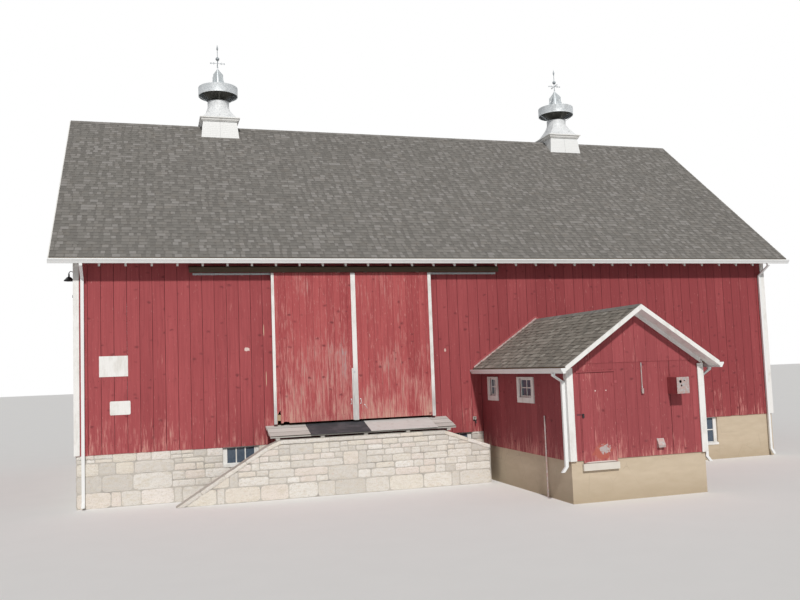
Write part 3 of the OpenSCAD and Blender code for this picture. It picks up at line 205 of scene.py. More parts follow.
def steps(tree, value, start, end):
    """0 below start, 1 above end, straight between."""
    return add(tree, "ShaderNodeMapRange", {0: value, 1: start, 2: end}).outputs[0]


def rough_normal(tree, shader, height, depth_mm, strength=1.0):
    """Turns a height into bumps of depth_mm."""
    bump = add(tree, "ShaderNodeBump", {"Height": height, "Distance": depth_mm / 1000, "Strength": strength})
    tree.links.new(bump.outputs[0], shader.inputs["Normal"])


# %% [markdown]
# Red barn paint is a chalky oil paint on rough-sawn pine, brushed on many years ago. Seen
# close it is matt, a little lighter and pinker where the sun has bleached it, streaked
# along the boards, darker in the joints, with small bare flecks. The doors take the most
# rubbing and rain, so their paint is worn to grey wood in long upright patches. One function
# gives both: wear says how much of the paint is gone.

# %% Red barn paint
def barn_paint(name, wear, low, high, foot=1.3, reach=1.6, joints=None, nails=(), bare_patch=None, scars=(), shade=0.0):
    """Matt red paint on upright boards. wear runs from 0, sound, to 1, mostly gone, and is worst
    within reach metres over the foot. joints = (first, step) are the boards' edges in x where they
    carry no number of their own, nails the heights of nailed rails, bare_patch a patch rubbed down
    to the wood, scars a list of (patch, colour), and shade darkens the paint towards the right."""
    material, tree, shader, where = finish(name, 0.78, specular=0.3)
    parts = add(tree, "ShaderNodeSeparateXYZ", {0: where}).outputs
    tone = add(tree, "ShaderNodeAttribute", attribute_name="tone").outputs["Fac"]
    if joints:
        turn = maths(tree, "FRACT", maths(tree, "DIVIDE", maths(tree, "SUBTRACT", parts[0], joints[0]), joints[1]))
        across = maths(tree, "MULTIPLY_ADD", turn, 2.0, -1.0)
    else:
        across = add(tree, "ShaderNodeAttribute", attribute_name="across").outputs["Fac"]
    edge = maths(tree, "ABSOLUTE", across)
    bleach = marks(tree, where, (900, 900, 2600), 3.0)
    streak = marks(tree, where, (27, 27, 780), 6.0, shift=tone)
    fine = marks(tree, where, (9, 9, 260), 5.0, 0.6, shift=tone)
    share = maths(tree, "MULTIPLY_ADD", tone, 0.45, maths(tree, "ADD", bleach, streak))
    right = add(tree, "ShaderNodeMapRange", {0: parts[0], 1: -2.0, 2: 8.0, 3: 0.0, 4: shade}).outputs[0]
    share = maths(tree, "SUBTRACT", share, right)
    red = blend(tree, steps(tree, share, 0.80, 1.68), paint(low), paint(high))
    cathedral = add(tree, "ShaderNodeTexWave", {"Vector": scaled(tree, where, (420, 420, 2600), tone), "Scale": 1.0, "Distortion": 9.0,
                                                "Detail": 3.0, "Detail Scale": 1.2}, wave_profile="SAW").outputs["Fac"]
    grain = maths(tree, "MULTIPLY", steps(tree, cathedral, 0.55, 1.0), steps(tree, bleach, 0.35, 0.6))
    red = blend(tree, maths(tree, "MULTIPLY", grain, 0.22), red, paint("#6E3035"))
    flecks = steps(tree, marks(tree, where, (26, 26, 150), 7.0, 0.65, shift=tone), 0.65 - 0.05 * wear, 0.73 - 0.04 * wear)
    red = blend(tree, flecks, red, paint("#C48985"))
    stain = steps(tree, marks(tree, where, (80, 80, 500), 6.0, 0.6, shift=tone), 0.60, 0.74)
    red = blend(tree, maths(tree, "MULTIPLY", stain, 0.30), red, paint("#5E2A2E"))
    bowed = add(tree, "ShaderNodeTexNoise", {"Vector": scaled(tree, where, (90, 90, 90)), "Scale": 1.0, "Detail": 2.0}).outputs["Color"]
    bowed = add(tree, "ShaderNodeVectorMath", {0: bowed, 1: (0.03, 0.03, 0.09), 2: where}, operation="MULTIPLY_ADD").outputs[0]
    knot = add(tree, "ShaderNodeTexVoronoi", {"Vector": scaled(tree, bowed, (330, 330, 190), tone), "Scale": 1.0})
    chosen = maths(tree, "GREATER_THAN", add(tree, "ShaderNodeSeparateXYZ", {0: knot.outputs["Color"]}).outputs[0], 0.42)
    dark = add(tree, "ShaderNodeMapRange", {0: knot.outputs["Distance"], 1: 0.05, 2: 0.22, 3: 0.6 + 0.2 * wear, 4: 0.0}).outputs[0]
    patch = marks(tree, where, (46, 46, 520), 10.0, 0.72, shift=tone)
    spared = marks(tree, where, (520, 520, 1100), 3.0)
    low_down = add(tree, "ShaderNodeMapRange", {0: parts[2], 1: foot, 2: foot + reach, 3: 1.0, 4: 0.0}).outputs[0]
    mask = maths(tree, "MULTIPLY_ADD", low_down, 0.20, maths(tree, "MULTIPLY_ADD", fine, 0.50, patch))
    mask = maths(tree, "MULTIPLY_ADD", spared, 0.55, maths(tree, "SUBTRACT", mask, 0.345))
    wood = blend(tree, low_down, blend(tree, fine, paint("#8B7374"), paint("#B59894")),
                 blend(tree, fine, paint("#B27A70"), paint("#D5AC9D")))
    if bare_patch:
        rubbed = patch_at(tree, where, *bare_patch, 1.6, 0.9)
        mask = maths(tree, "MULTIPLY_ADD", rubbed, 0.16, mask)
        wood = blend(tree, rubbed, wood, blend(tree, fine, paint("#857A7D"), paint("#B6A9AA")))
    chalk = blend(tree, steps(tree, mask, 0.91 - 0.17 * wear, 1.02 - 0.17 * wear), red, paint("#BB7471"))
    colour = blend(tree, steps(tree, mask, 1.01 - 0.16 * wear, 1.14 - 0.16 * wear), chalk, wood)
    colour = blend(tree, maths(tree, "MULTIPLY", dark, chosen), colour, paint("#5E262C"))
    broken = steps(tree, marks(tree, where, (120, 120, 520), 4.0), 0.36, 0.60)
    joint = maths(tree, "MULTIPLY", steps(tree, edge, 0.962, 0.997), maths(tree, "MULTIPLY_ADD", broken, 0.6, 0.30))
    colour = blend(tree, joint, colour, paint("#63292E"))
    for level in nails:
        high_off = maths(tree, "SUBTRACT", parts[2], level)
        side_off = maths(tree, "MULTIPLY_ADD", edge, 0.15, -0.093)
        off = add(tree, "ShaderNodeCombineXYZ", {0: high_off, 1: side_off}).outputs[0]
        off = add(tree, "ShaderNodeVectorMath", {0: off}, operation="LENGTH").outputs["Value"]
        colour = blend(tree, maths(tree, "LESS_THAN", off, 0.0065), colour, paint("#3E2422"))
    for (middle, half, ragged), code in scars:
        colour = blend(tree, patch_at(tree, where, middle, half, ragged), colour, paint(code))
    tree.links.new(colour, shader.inputs["Base Color"])
    rough_normal(tree, shader, fine, 1.6, 0.7)
    return material


# %% Where the paint is nailed, scarred and rubbed off
nail_levels = [1.325 + k * 4.6 + 0.06 for k in (0.02, 0.36, 0.68, 0.975)]
wall_scars = [(((-5.965, 3.72), (0.075, 0.05), 1.6), "#D9C3BD"), (((-0.58, 3.54), (0.03, 0.05), 1.2), "#D2B7B0"),
              (((-5.53, 4.20), (0.012, 0.17), 0.6), "#C9A790"), (((-5.49, 2.95), (0.010, 0.22), 0.6), "#C9A790"),
              (((8.89, 1.52), (0.006, 0.25), 0.8), "#33191B")]
leaf_lo, leaf_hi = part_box("left_door")
leaf_board = (leaf_hi[0] - leaf_lo[0]) / 12
wing_lo, wing_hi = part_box("wing_door")
red_paint = barn_paint("red_barn_paint", 0.22, "#8F3F43", "#AC5457", nails=nail_levels, scars=wall_scars, shade=0.5)
worn_paint = barn_paint("worn_red_paint", 0.95, "#9A4447", "#B65B5C", foot=1.8, reach=2.4, joints=(leaf_lo[0], leaf_board),
                        nails=[1.94, 3.74, 5.435], bare_patch=((leaf_lo[0] + 1.86, 3.70), (0.24, 1.35)),
                        scars=[(((leaf_lo[0] + 0.127, 1.93), (0.054, 0.12), 0.0), "#B39A7E")])
side_lo, side_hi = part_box("wing_side_walls")
wing_board = (side_hi[0] - side_lo[0]) / 12
wing_paint = barn_paint("red_wing_paint", 0.36, "#8C4145", "#A75357", foot=0.95, reach=0.8, joints=(side_lo[0], wing_board),
                        nails=[1.1, 2.0, 2.9])
wing_side_paint = barn_paint("red_wing_side_paint", 0.36, "#873E43", "#A14E53", foot=0.95, reach=0.8)
wing_door_paint = barn_paint("red_wing_door_paint", 0.62, "#8E4246", "#AA5559", foot=0.85, reach=0.7, scars=[
    (((1.24, 1.09), (0.24, 0.19), 2.2), "#AE5F54"), (((1.31, 1.15), (0.14, 0.10), 3.0), "#B5A9A8"),
    (((1.2, 0.875), (0.43, 0.02), 0.8), "#D5CBC6"), (((0.765, 2.44), (0.011, 0.011), 0.0), "#E3D9D4"),
    (((1.14, 2.44), (0.013, 0.013), 0.0), "#F0EAE6"), (((1.41, 2.44), (0.012, 0.012), 0.0), "#EDE6E2")])

# %% [markdown]
# White oil paint on the edge boards, corner boards and casings is brushed on planed wood: a
# soft sheen, faint grain, and dirt in streaks. The gutters and downspouts are aluminium with
# a factory-baked white enamel: smoother, colder and shinier, with no grain.

# %% White paint and white enamel
def white_paint(name, dirt, grain, bare_below=None):
    """White paint on planed wood; dirt says how grey its streaks are, and it is thin below a height."""
    material, tree, shader, where = finish(name, 0.5, specular=0.4)
    fine = marks(tree, where, grain, 5.0)
    stain = steps(tree, marks(tree, where, (170, 170, 420), 7.0, 0.65), 0.48, 0.72)
    colour = blend(tree, fine, paint("#E2E2E0"), paint("#F1F1EF"))
    dull = add(tree, "ShaderNodeMath", {0: stain, 1: dirt}, operation="MULTIPLY").outputs[0]
    colour = blend(tree, dull, colour, paint("#B7B1A6"))
    if bare_below:
        height = add(tree, "ShaderNodeSeparateXYZ", {0: where}).outputs[2]
        thin = add(tree, "ShaderNodeMapRange", {0: height, 1: bare_below - 0.5, 2: bare_below, 3: 0.75, 4: 0.0}).outputs[0]
        worn = steps(tree, marks(tree, where, (22, 22, 380), 8.0, 0.65), 0.42, 0.62)
        colour = blend(tree, maths(tree, "MULTIPLY", thin, maths(tree, "MULTIPLY_ADD", worn, 0.5, 0.5)), colour, paint("#A8A5A6"))
    chips = steps(tree, marks(tree, where, (34, 34, 90), 6.0, 0.7), 0.69, 0.72)
    colour = blend(tree, add(tree, "ShaderNodeMath", {0: chips, 1: dirt}, operation="MULTIPLY").outputs[0],
                   colour, paint("#8F8579"))
    tree.links.new(colour, shader.inputs["Base Color"])
    rough_normal(tree, shader, fine, 0.8, 0.6)
    return material


trim_paint = white_paint("white_trim_paint", 0.45, (12, 12, 240))
leaf_edge_paint = white_paint("white_paint_on_leaf_edges", 0.6, (12, 12, 240), 2.7)
strip_paint = white_paint("white_paint_on_cover_strip", 0.5, (12, 12, 240), 3.3)
frame_paint = white_paint("white_window_paint", 0.7, (14, 14, 120))

enamel, tree, shader, where = finish("white_enamelled_aluminium", 0.3)
film = marks(tree, where, (220, 220, 500), 5.0)
runs = steps(tree, marks(tree, where, (18, 18, 600), 5.0, 0.6), 0.5, 0.8)
colour = blend(tree, film, paint("#E4E7E8"), paint("#F0F2F2"))
tree.links.new(blend(tree, add(tree, "ShaderNodeMath", {0: runs, 1: 0.4}, operation="MULTIPLY").outputs[0],
                     colour, paint("#C6C3BC")), shader.inputs["Base Color"])
tree.links.new(add(tree, "ShaderNodeMapRange", {0: film, 3: 0.24, 4: 0.42}).outputs[0], shader.inputs["Roughness"])
rough_normal(tree, shader, marks(tree, where, (90, 90, 90), 2.0), 0.6, 0.4)

# %% [markdown]
# Asphalt shingles are felt soaked in asphalt with crushed slate pressed into it. The eye
# sees grey-brown tabs of many shades, each speckled, with no shine. Slate grit is 1 to 2 mm,
# which is too fine to show here, so the speckles are drawn about 8 mm wide.

# %% Asphalt shingles
def asphalt(name, shades, dust):
    """Shingles whose tabs run through four shades, with pale dust in broad patches."""
    material, tree, shader, where = finish(name, 0.93, specular=0.15)
    tone = add(tree, "ShaderNodeAttribute", attribute_name="tone").outputs["Fac"]
    tab_colour = add(tree, "ShaderNodeValToRGB", {0: tone},
                     stops=[(place, paint(code)) for place, code in zip((0.0, 0.3, 0.75, 1.0), shades)]).outputs[0]
    grit = marks(tree, where, (8, 8, 8), 3.0, 0.7)
    weather = marks(tree, where, (1400, 1400, 1400), 4.0)
    lichen = steps(tree, marks(tree, where, (260, 260, 260), 5.0, 0.65), 0.52, 0.72)
    speckled = blend(tree, 0.28, tab_colour, blend(tree, grit, paint("#494644"), paint("#B6B0AA")))
    aged = blend(tree, maths(tree, "MULTIPLY", weather, 0.25), speckled, paint(dust))
    aged = blend(tree, maths(tree, "MULTIPLY", lichen, 0.18), aged, paint("#8E8377"))
    tree.links.new(aged, shader.inputs["Base Color"])
    rough_normal(tree, shader, grit, 2.0, 0.8)
    return material


shingle_grit = asphalt("asphalt_shingles", ("#575654", "#6E6D6A", "#7E7C79", "#939190"), "#92908C")
wing_grit = asphalt("asphalt_shingles_on_wing", ("#4E4B45", "#7A766D", "#8F8A81", "#A8A49B"), "#A39E94")

# %% [markdown]
# The base is limestone: split blocks in courses, cream with some yellow and pink ones, laid
# in grey lime mortar. Right of the wing, and under the wing, it is finished with a beige
# lime plaster, trowelled flat, stained by rain from below and finely cracked.

# %% Limestone, mortar and plaster
limestone, tree, shader, where = finish("limestone_blocks", 0.88, specular=0.25)
tone = add(tree, "ShaderNodeAttribute", attribute_name="tone").outputs["Fac"]
block_colour = add(tree, "ShaderNodeValToRGB", {0: tone}, stops=[
    (0.0, paint("#CDC9C3")), (0.25, paint("#DAD6D0")), (0.5, paint("#E4E1DC")), (0.7, paint("#E0DACF")),
    (0.85, paint("#E1D8D2")), (1.0, paint("#EAE8E4"))]).outputs[0]
pits = marks(tree, where, (22, 22, 14), 6.0, 0.65)
veins = marks(tree, where, (130, 130, 50), 6.0, 0.6, shift=tone)
colour = blend(tree, steps(tree, pits, 0.54, 0.74), block_colour, paint("#A39B91"))
colour = blend(tree, maths(tree, "MULTIPLY", steps(tree, veins, 0.46, 0.7), 0.55), colour, paint("#C9BFAC"))
iron_spots = steps(tree, marks(tree, where, (70, 70, 50), 8.0, 0.7, shift=tone), 0.60, 0.70)
colour = blend(tree, maths(tree, "MULTIPLY", iron_spots, 0.5), colour, paint("#CB9F8A"))
chipped = steps(tree, marks(tree, where, (55, 55, 30), 8.0, 0.7, shift=tone), 0.57, 0.66)
colour = blend(tree, maths(tree, "MULTIPLY", chipped, 0.6), colour, paint("#B3ACA2"))
tree.links.new(colour, shader.inputs["Base Color"])
rough_normal(tree, shader, pits, 9.0, 0.8)

mortar, tree, shader, where = finish("lime_mortar", 0.95, specular=0.2)
sand = marks(tree, where, (9, 9, 9), 4.0, 0.7)
damp = marks(tree, where, (420, 420, 160), 4.0)
colour = blend(tree, sand, paint("#A9A49D"), paint("#CFCAC2"))
tree.links.new(blend(tree, steps(tree, damp, 0.5, 0.75), colour, paint("#96928D")), shader.inputs["Base Color"])
rough_normal(tree, shader, sand, 4.0, 0.9)

plaster, tree, shader, where = finish("trowelled_lime_plaster", 0.9, specular=0.25)
trowel = marks(tree, where, (340, 340, 120), 5.0, 0.5)
sand = marks(tree, where, (7, 7, 7), 3.0, 0.7)
parts = add(tree, "ShaderNodeSeparateXYZ", {0: where}).outputs
splash = add(tree, "ShaderNodeMapRange", {0: parts[2], 1: 0.0, 2: 0.55, 3: 0.55, 4: 0.0}).outputs[0]
colour = blend(tree, trowel, paint("#BBAB94"), paint("#CFC1AC"))
colour = blend(tree, splash, colour, paint("#9F8F78"))
doorstep = maths(tree, "LESS_THAN", parts[1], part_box("wing_side_walls")[0][1] - 0.01)
colour = blend(tree, doorstep, colour, blend(tree, trowel, paint("#CFC9BF"), paint("#E2DED6")))
warped = add(tree, "ShaderNodeVectorMath", {0: where, 1: (1.6, 1.6, 1.3)}, operation="MULTIPLY").outputs[0]
cells = add(tree, "ShaderNodeTexVoronoi", {"Vector": warped, "Scale": 1.0}, feature="DISTANCE_TO_EDGE").outputs["Distance"]
crack = add(tree, "ShaderNodeMapRange", {0: cells, 1: 0.0, 2: 0.006, 3: 0.55, 4: 0.0}).outputs[0]
gate = steps(tree, marks(tree, where, (800, 800, 800), 2.0), 0.5, 0.6)
colour = blend(tree, add(tree, "ShaderNodeMath", {0: crack, 1: gate}, operation="MULTIPLY").outputs[0], colour, paint("#7C6E5B"))
tree.links.new(colour, shader.inputs["Base Color"])
rough_normal(tree, shader, blend(tree, 0.35, trowel, sand), 6.0, 0.6)

# %% [markdown]
# Old planks that were never painted turn silver grey, with dark cracks along the grain. New
# wood inside the barn is rough-sawn and brown. Both are long marks, close together across
# the grain, so one function makes them, told which way the grain runs.

# %% Bare wood
def bare_wood(name, low, high, crack, grain, cracks=0.6, joints=None):
    """Unpainted wood; grain is the spacing of its marks along x, y and z, in millimetres, and
    joints = (first, step) are the planks' edges in y where they carry no number of their own,
    with painted shade in the gaps between them."""
    material, tree, shader, where = finish(name, 0.85, specular=0.25)
    if joints:
        along = add(tree, "ShaderNodeSeparateXYZ", {0: where}).outputs[1]
        turn = maths(tree, "DIVIDE", maths(tree, "SUBTRACT", along, joints[0]), joints[1])
        tone = maths(tree, "FRACT", maths(tree, "MULTIPLY", maths(tree, "FLOOR", turn), 0.618))
        edge = maths(tree, "ABSOLUTE", maths(tree, "MULTIPLY_ADD", maths(tree, "FRACT", turn), 2.0, -1.0))
    else:
        tone = add(tree, "ShaderNodeAttribute", attribute_name="tone").outputs["Fac"]
    fine = marks(tree, where, grain, 7.0, 0.6, shift=tone)
    broad = marks(tree, where, [g * 5 for g in grain], 4.0, shift=tone)
    share = maths(tree, "MULTIPLY_ADD", tone, 0.35, maths(tree, "SUBTRACT", fine, 0.15))
    colour = blend(tree, share, paint(low), paint(high))
    split = steps(tree, broad, 0.60, 0.68)
    colour = blend(tree, maths(tree, "MULTIPLY", split, cracks), colour, paint(crack))
    height = fine
    if joints:
        # Painted shade: the gaps between the planks are drawn dark, as the shade that falls into them.
        gap = steps(tree, edge, 0.945, 0.975)
        colour = blend(tree, gap, colour, paint("#4A433B"))
        height = maths(tree, "MULTIPLY_ADD", gap, -3.0, fine)
    tree.links.new(colour, shader.inputs["Base Color"])
    rough_normal(tree, shader, height, 2.2, 0.8)
    return material


grey_planks = bare_wood("weathered_grey_planks", "#A79F95", "#D6CFC5", "#6E665D", (420, 11, 11), 0.6)
deck_planks = bare_wood("weathered_bridge_planks", "#B3B0AB", "#E6E5E1", "#77726B", (420, 11, 11), 0.6,
                        (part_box("bridge_deck")[0][1], 0.286))
# Painted shade: the hood's weathered boards are drawn much darker than the grey planks, as the eave's shade that lies
# on them.
hood_wood_with_painted_shade = bare_wood("weathered_hood_boards_in_painted_shade", "#453A30", "#786857", "#2A231D", (500, 10, 10), 0.7)
upright_timber = bare_wood("sawn_timber_upright", "#7A6347", "#A58C6A", "#54422E", (14, 14, 420))
level_timber = bare_wood("sawn_timber_level", "#7A6347", "#A58C6A", "#54422E", (320, 60, 14))
floor_timber = bare_wood("floor_planks", "#7E6A50", "#A18B6D", "#4E4030", (14, 420, 14), 0.6)

# %% [markdown]
# The rafters are raw timber inside the barn, but their tails outside were painted white
# with the trim, and only their ends catch the light.

# %% Rafters with white tails
rafter_wood, tree, shader, where = finish("rafters_with_white_tails", 0.75, specular=0.3)
along = add(tree, "ShaderNodeSeparateXYZ", {0: where}).outputs[1]
fine = marks(tree, where, (14, 260, 60), 6.0)
raw = blend(tree, fine, paint("#776047"), paint("#A0876A"))
out_front = add(tree, "ShaderNodeMath", {0: along, 1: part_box("front_wall_left")[0][1]}, operation="LESS_THAN").outputs[0]
out_back = add(tree, "ShaderNodeMath", {0: along, 1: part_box("back_wall")[1][1]}, operation="GREATER_THAN").outputs[0]
outside = add(tree, "ShaderNodeMath", {0: out_front, 1: out_back}, operation="MAXIMUM").outputs[0]
tree.links.new(blend(tree, outside, raw, blend(tree, fine, paint("#DDDCD8"), paint("#EFEEEB"))), shader.inputs["Base Color"])
rough_normal(tree, shader, fine, 1.5, 0.7)

# %% [markdown]
# The ventilators, the door rail and the irons are steel dipped in molten zinc. The zinc
# freezes in flat crystals some 15 to 30 mm wide, so the metal is mottled, brighter and
# duller from crystal to crystal, and it greys and stains with age.

# %% Galvanised steel and dark iron
def zinc(name, low, high, roughness, metallic, crystal_mm=22):
    """Galvanised sheet: crystals of crystal_mm, each with its own brightness."""
    material, tree, shader, where = finish(name, roughness, metallic)
    crystals = add(tree, "ShaderNodeTexVoronoi", {"Vector": scaled(tree, where, [crystal_mm] * 3), "Scale": 1.0}).outputs["Color"]
    shade = add(tree, "ShaderNodeSeparateXYZ", {0: crystals}).outputs[0]
    stain = marks(tree, where, (130, 130, 420), 6.0, 0.6)
    colour = blend(tree, shade, paint(low), paint(high))
    colour = blend(tree, maths(tree, "MULTIPLY", steps(tree, stain, 0.55, 0.8), 0.7), colour, paint("#8E8F8D"))
    tree.links.new(colour, shader.inputs["Base Color"])
    tree.links.new(add(tree, "ShaderNodeMapRange", {0: shade, 3: roughness - 0.08, 4: roughness + 0.12}).outputs[0],
                   shader.inputs["Roughness"])
    rough_normal(tree, shader, stain, 2.5, 0.35)
    return material


galvanised = zinc("galvanised_steel", "#9EA6AA", "#CDD3D6", 0.5, 0.6)
hood_zinc = zinc("bright_galvanised_hood", "#D2D6D9", "#ECEEF0", 0.55, 0.1, 30)
band_zinc = zinc("galvanised_wind_band", "#BDC3C7", "#E1E5E8", 0.45, 0.35, 26)
fin_zinc = zinc("galvanised_fins", "#B4BABD", "#D3D8DB", 0.5, 0.3)
# Painted shade: a dark copy of the zinc for the storm cone and the front and back straps, which lie in the shade under
# the wind band.
painted_shade_zinc = zinc("storm_cone_painted_shade", "#484844", "#62625C", 0.75, 0.2)
rail_steel = zinc("galvanised_rail", "#A0A6A9", "#C0C5C7", 0.5, 0.6)
finial_zinc = zinc("dull_galvanised_finial", "#7E868B", "#A4ABAF", 0.5, 0.5)

dark_iron, tree, shader, where = finish("black_painted_iron", 0.45, 0.2)
scuffs = marks(tree, where, (16, 16, 16), 6.0, 0.65)
colour = blend(tree, scuffs, paint("#1F2022"), paint("#37383B"))
colour = blend(tree, steps(tree, scuffs, 0.62, 0.72), colour, paint("#5B4A40"))
tap_plate = patch_at(tree, where, (0.205, 1.66), (0.07, 0.06), 0.0)
tree.links.new(blend(tree, tap_plate, colour, paint("#B4B0AA")), shader.inputs["Base Color"])
rough_normal(tree, shader, scuffs, 0.8, 0.6)

# %% [markdown]
# Window glass is thin and smooth. From outside the rooms behind it are dark, so it shows
# mostly the sky that it reflects; that dark room and sky are also painted into its bluish grey
# colour. The mat on the bridge is black rubber, dusty and scuffed, and beside it lies a pale sheet of painted board.

# %% Glass, rubber and the pale sheet
glass, tree, shader, where = finish("window_glass", 0.04)
dust = marks(tree, where, (60, 60, 90), 6.0, 0.6)
# Painted reflection and shade: the panes' bluish grey stands for the reflected sky and the dark room behind, and dust
# varies it.
tree.links.new(blend(tree, dust, paint("#3A4655"), paint("#5C6A7A")), shader.inputs["Base Color"])
tree.links.new(add(tree, "ShaderNodeMapRange", {0: dust, 3: 0.02, 4: 0.16}).outputs[0], shader.inputs["Roughness"])
rough_normal(tree, shader, marks(tree, where, (150, 150, 210), 2.0), 1.2, 0.3)

rubber, tree, shader, where = finish("dusty_rubber_mat", 0.8, specular=0.3)
scuffs = marks(tree, where, (60, 25, 25), 7.0, 0.65)
dust = marks(tree, where, (420, 300, 300), 5.0)
colour = blend(tree, scuffs, paint("#36373B"), paint("#4C4D52"))
tree.links.new(blend(tree, steps(tree, dust, 0.5, 0.8), colour, paint("#67656A")), shader.inputs["Base Color"])
rough_normal(tree, shader, marks(tree, where, (6, 6, 6), 3.0), 1.5, 0.8)

pale_board, tree, shader, where = finish("pale_painted_board", 0.62, specular=0.35)
film = marks(tree, where, (300, 90, 90), 6.0, 0.55)
dirt = steps(tree, marks(tree, where, (160, 120, 120), 7.0, 0.68), 0.55, 0.75)
colour = blend(tree, film, paint("#CACAC8"), paint("#DCDCDA"))
tree.links.new(blend(tree, add(tree, "ShaderNodeMath", {0: dirt, 1: 0.6}, operation="MULTIPLY").outputs[0],
                     colour, paint("#A89C92")), shader.inputs["Base Color"])
rough_normal(tree, shader, film, 1.2, 0.6)

# %% [markdown]
# ## Pieces laid down by Geometry Nodes
# Boards, shingles, ridge caps, stones, nails and rivets repeat by the hundred. Each kind has
# one tree with named inputs. A helper runs a tree on an empty object, keeps the result as a
# plain mesh and removes the tree, so that what is left is an ordinary piece at the origin.

# %% Running a tree
def new_tree(name, sockets, takes_mesh=False):
    """An empty tree with named inputs, given as (name, kind) pairs; returns it and its input node."""
    group = bpy.data.node_groups.new(name, "GeometryNodeTree")
    group.interface.new_socket("Geometry", in_out="OUTPUT", socket_type="NodeSocketGeometry")
    if takes_mesh:
        group.interface.new_socket("Geometry", in_out="INPUT", socket_type="NodeSocketGeometry")
    for label, kind in sockets:
        group.interface.new_socket(label, in_out="INPUT", socket_type="NodeSocket" + kind)
    return group, group.nodes.new("NodeGroupInput").outputs


def grown(name, group, values, mesh=None):
    """Runs a tree with these values, on mesh or on nothing, and returns the result as a plain piece."""
    start = bpy.data.objects.new(name + "_start", mesh or bpy.data.meshes.new(name + "_start"))
    scene.collection.objects.link(start)
    modifier = start.modifiers.new("grow", "NODES")
    modifier.node_group = group
    places = {s.name: s.identifier for s in group.interface.items_tree if s.item_type == "SOCKET" and s.in_out == "INPUT"}
    for label, value in values.items():
        modifier[places[label]] = value
    graph = bpy.context.evaluated_depsgraph_get()
    made = bpy.data.meshes.new_from_object(start.evaluated_get(graph), preserve_all_data_layers=True, depsgraph=graph)
    start.modifiers.clear()
    bpy.data.objects.remove(start)
    piece = bpy.data.objects.new(name, made)
    scene.collection.objects.link(piece)
    return piece


def joined(name, pieces):
    """Several pieces made one."""
    first = pieces[0]
    with bpy.context.temp_override(active_object=first, selected_objects=pieces, selected_editable_objects=pieces):
        bpy.ops.object.join()
    first.name = name
    first.data.name = name
    return first


def settled(piece, body, slot, *stands_for):
    """The last step of every piece: its body and the CAD nodes it replaces; slot is not used."""
    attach(piece, body)
    if stands_for:
        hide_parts(*stands_for)
    triangles = sum(len(p.vertices) - 2 for p in piece.data.polygons)
    print("%-24s %7d triangles on %s" % (piece.name, triangles, body))
    return piece


def boxes(name, corners, material):
    """Plain sawn timbers: one box for each pair of corners, each with its own tone."""
    made = bmesh.new()
    tone = made.verts.layers.float.new("tone")
    for number, (a, b) in enumerate(corners):
        a, b = Vector(a), Vector(b)
        new = bmesh.ops.create_cube(made, size=1, matrix=Matrix.Translation((a + b) / 2) @ Matrix.Diagonal((*(b - a), 1)))["verts"]
        for vertex in new:
            vertex[tone] = (number * 0.618) % 1
    mesh = bpy.data.meshes.new(name)
    made.to_mesh(mesh)
    made.free()
    mesh.materials.append(material)
    piece = bpy.data.objects.new(name, mesh)
    scene.collection.objects.link(piece)
    return piece


# %% [markdown]
# The barn is clad with upright boards about 305 mm wide, nailed to rails. Each board could
# be a stripe of a texture, but then the joints wouldn't catch the sun. Here each is a board
# with a groove beside it, a little higher or lower, further in or out than its neighbours.
# The same tree makes gables: the boards are cut off under a line that falls both ways
# from the peak.

# %% A tree for upright boards
board_tree, given = new_tree("upright_boards", [
    ("Boards", "Int"), ("Pitch", "Float"), ("Height", "Float"), ("Thickness", "Float"), ("Groove", "Float"),
    ("Foot wear", "Float"), ("Warp", "Float"), ("Peak", "Float"), ("Slope", "Float"), ("Middle", "Float"),
    ("Seed", "Int"), ("Paint", "Material"), ("Back", "Material"), ("Turn", "Vector"), ("Place", "Vector")])
t = board_tree
tall = add(t, "ShaderNodeMath", {0: given["Height"], 1: given["Foot wear"]}, operation="ADD").outputs[0]
size = add(t, "ShaderNodeCombineXYZ", {0: given["Pitch"], 1: given["Thickness"], 2: tall}).outputs[0]
board = add(t, "GeometryNodeMeshCube", {"Size": size}).outputs[0]
spot = add(t, "ShaderNodeSeparateXYZ", {0: add(t, "GeometryNodeInputPosition").outputs[0]}).outputs
side = add(t, "ShaderNodeMath", {0: spot[0]}, operation="SIGN").outputs[0]
board = add(t, "GeometryNodeStoreNamedAttribute", {"Geometry": board, "Name": "across", "Value": side},
            data_type="FLOAT", domain="POINT").outputs[0]
front = add(t, "ShaderNodeMath", {0: spot[1], 1: 0.0}, operation="LESS_THAN").outputs[0]
inset = add(t, "ShaderNodeMath", {0: front, 1: given["Groove"], 2: 0.0008}, operation="MULTIPLY_ADD").outputs[0]
inset = add(t, "ShaderNodeMath", {0: inset, 1: side}, operation="MULTIPLY").outputs[0]
inset = add(t, "ShaderNodeMath", {0: inset, 1: -0.5}, operation="MULTIPLY").outputs[0]
deep = add(t, "ShaderNodeMath", {0: given["Thickness"], 1: 0.5}, operation="MULTIPLY").outputs[0]
rise = add(t, "ShaderNodeMath", {0: tall, 1: 0.5}, operation="MULTIPLY").outputs[0]
board = add(t, "GeometryNodeSetPosition", {"Geometry": board, "Offset": add(
    t, "ShaderNodeCombineXYZ", {0: inset, 1: deep, 2: rise}).outputs[0]}).outputs[0]
half = add(t, "ShaderNodeMath", {0: given["Pitch"], 1: 0.5}, operation="MULTIPLY").outputs[0]
row = add(t, "GeometryNodeMeshLine", {
    "Count": given["Boards"], "Start Location": add(t, "ShaderNodeCombineXYZ", {0: half}).outputs[0],
    "Offset": add(t, "ShaderNodeCombineXYZ", {0: given["Pitch"]}).outputs[0]}).outputs[0]
drop = add(t, "ShaderNodeMath", {0: given["Foot wear"], 1: -1.0}, operation="MULTIPLY").outputs[0]
least = add(t, "ShaderNodeCombineXYZ", {1: 0.0, 2: drop}).outputs[0]
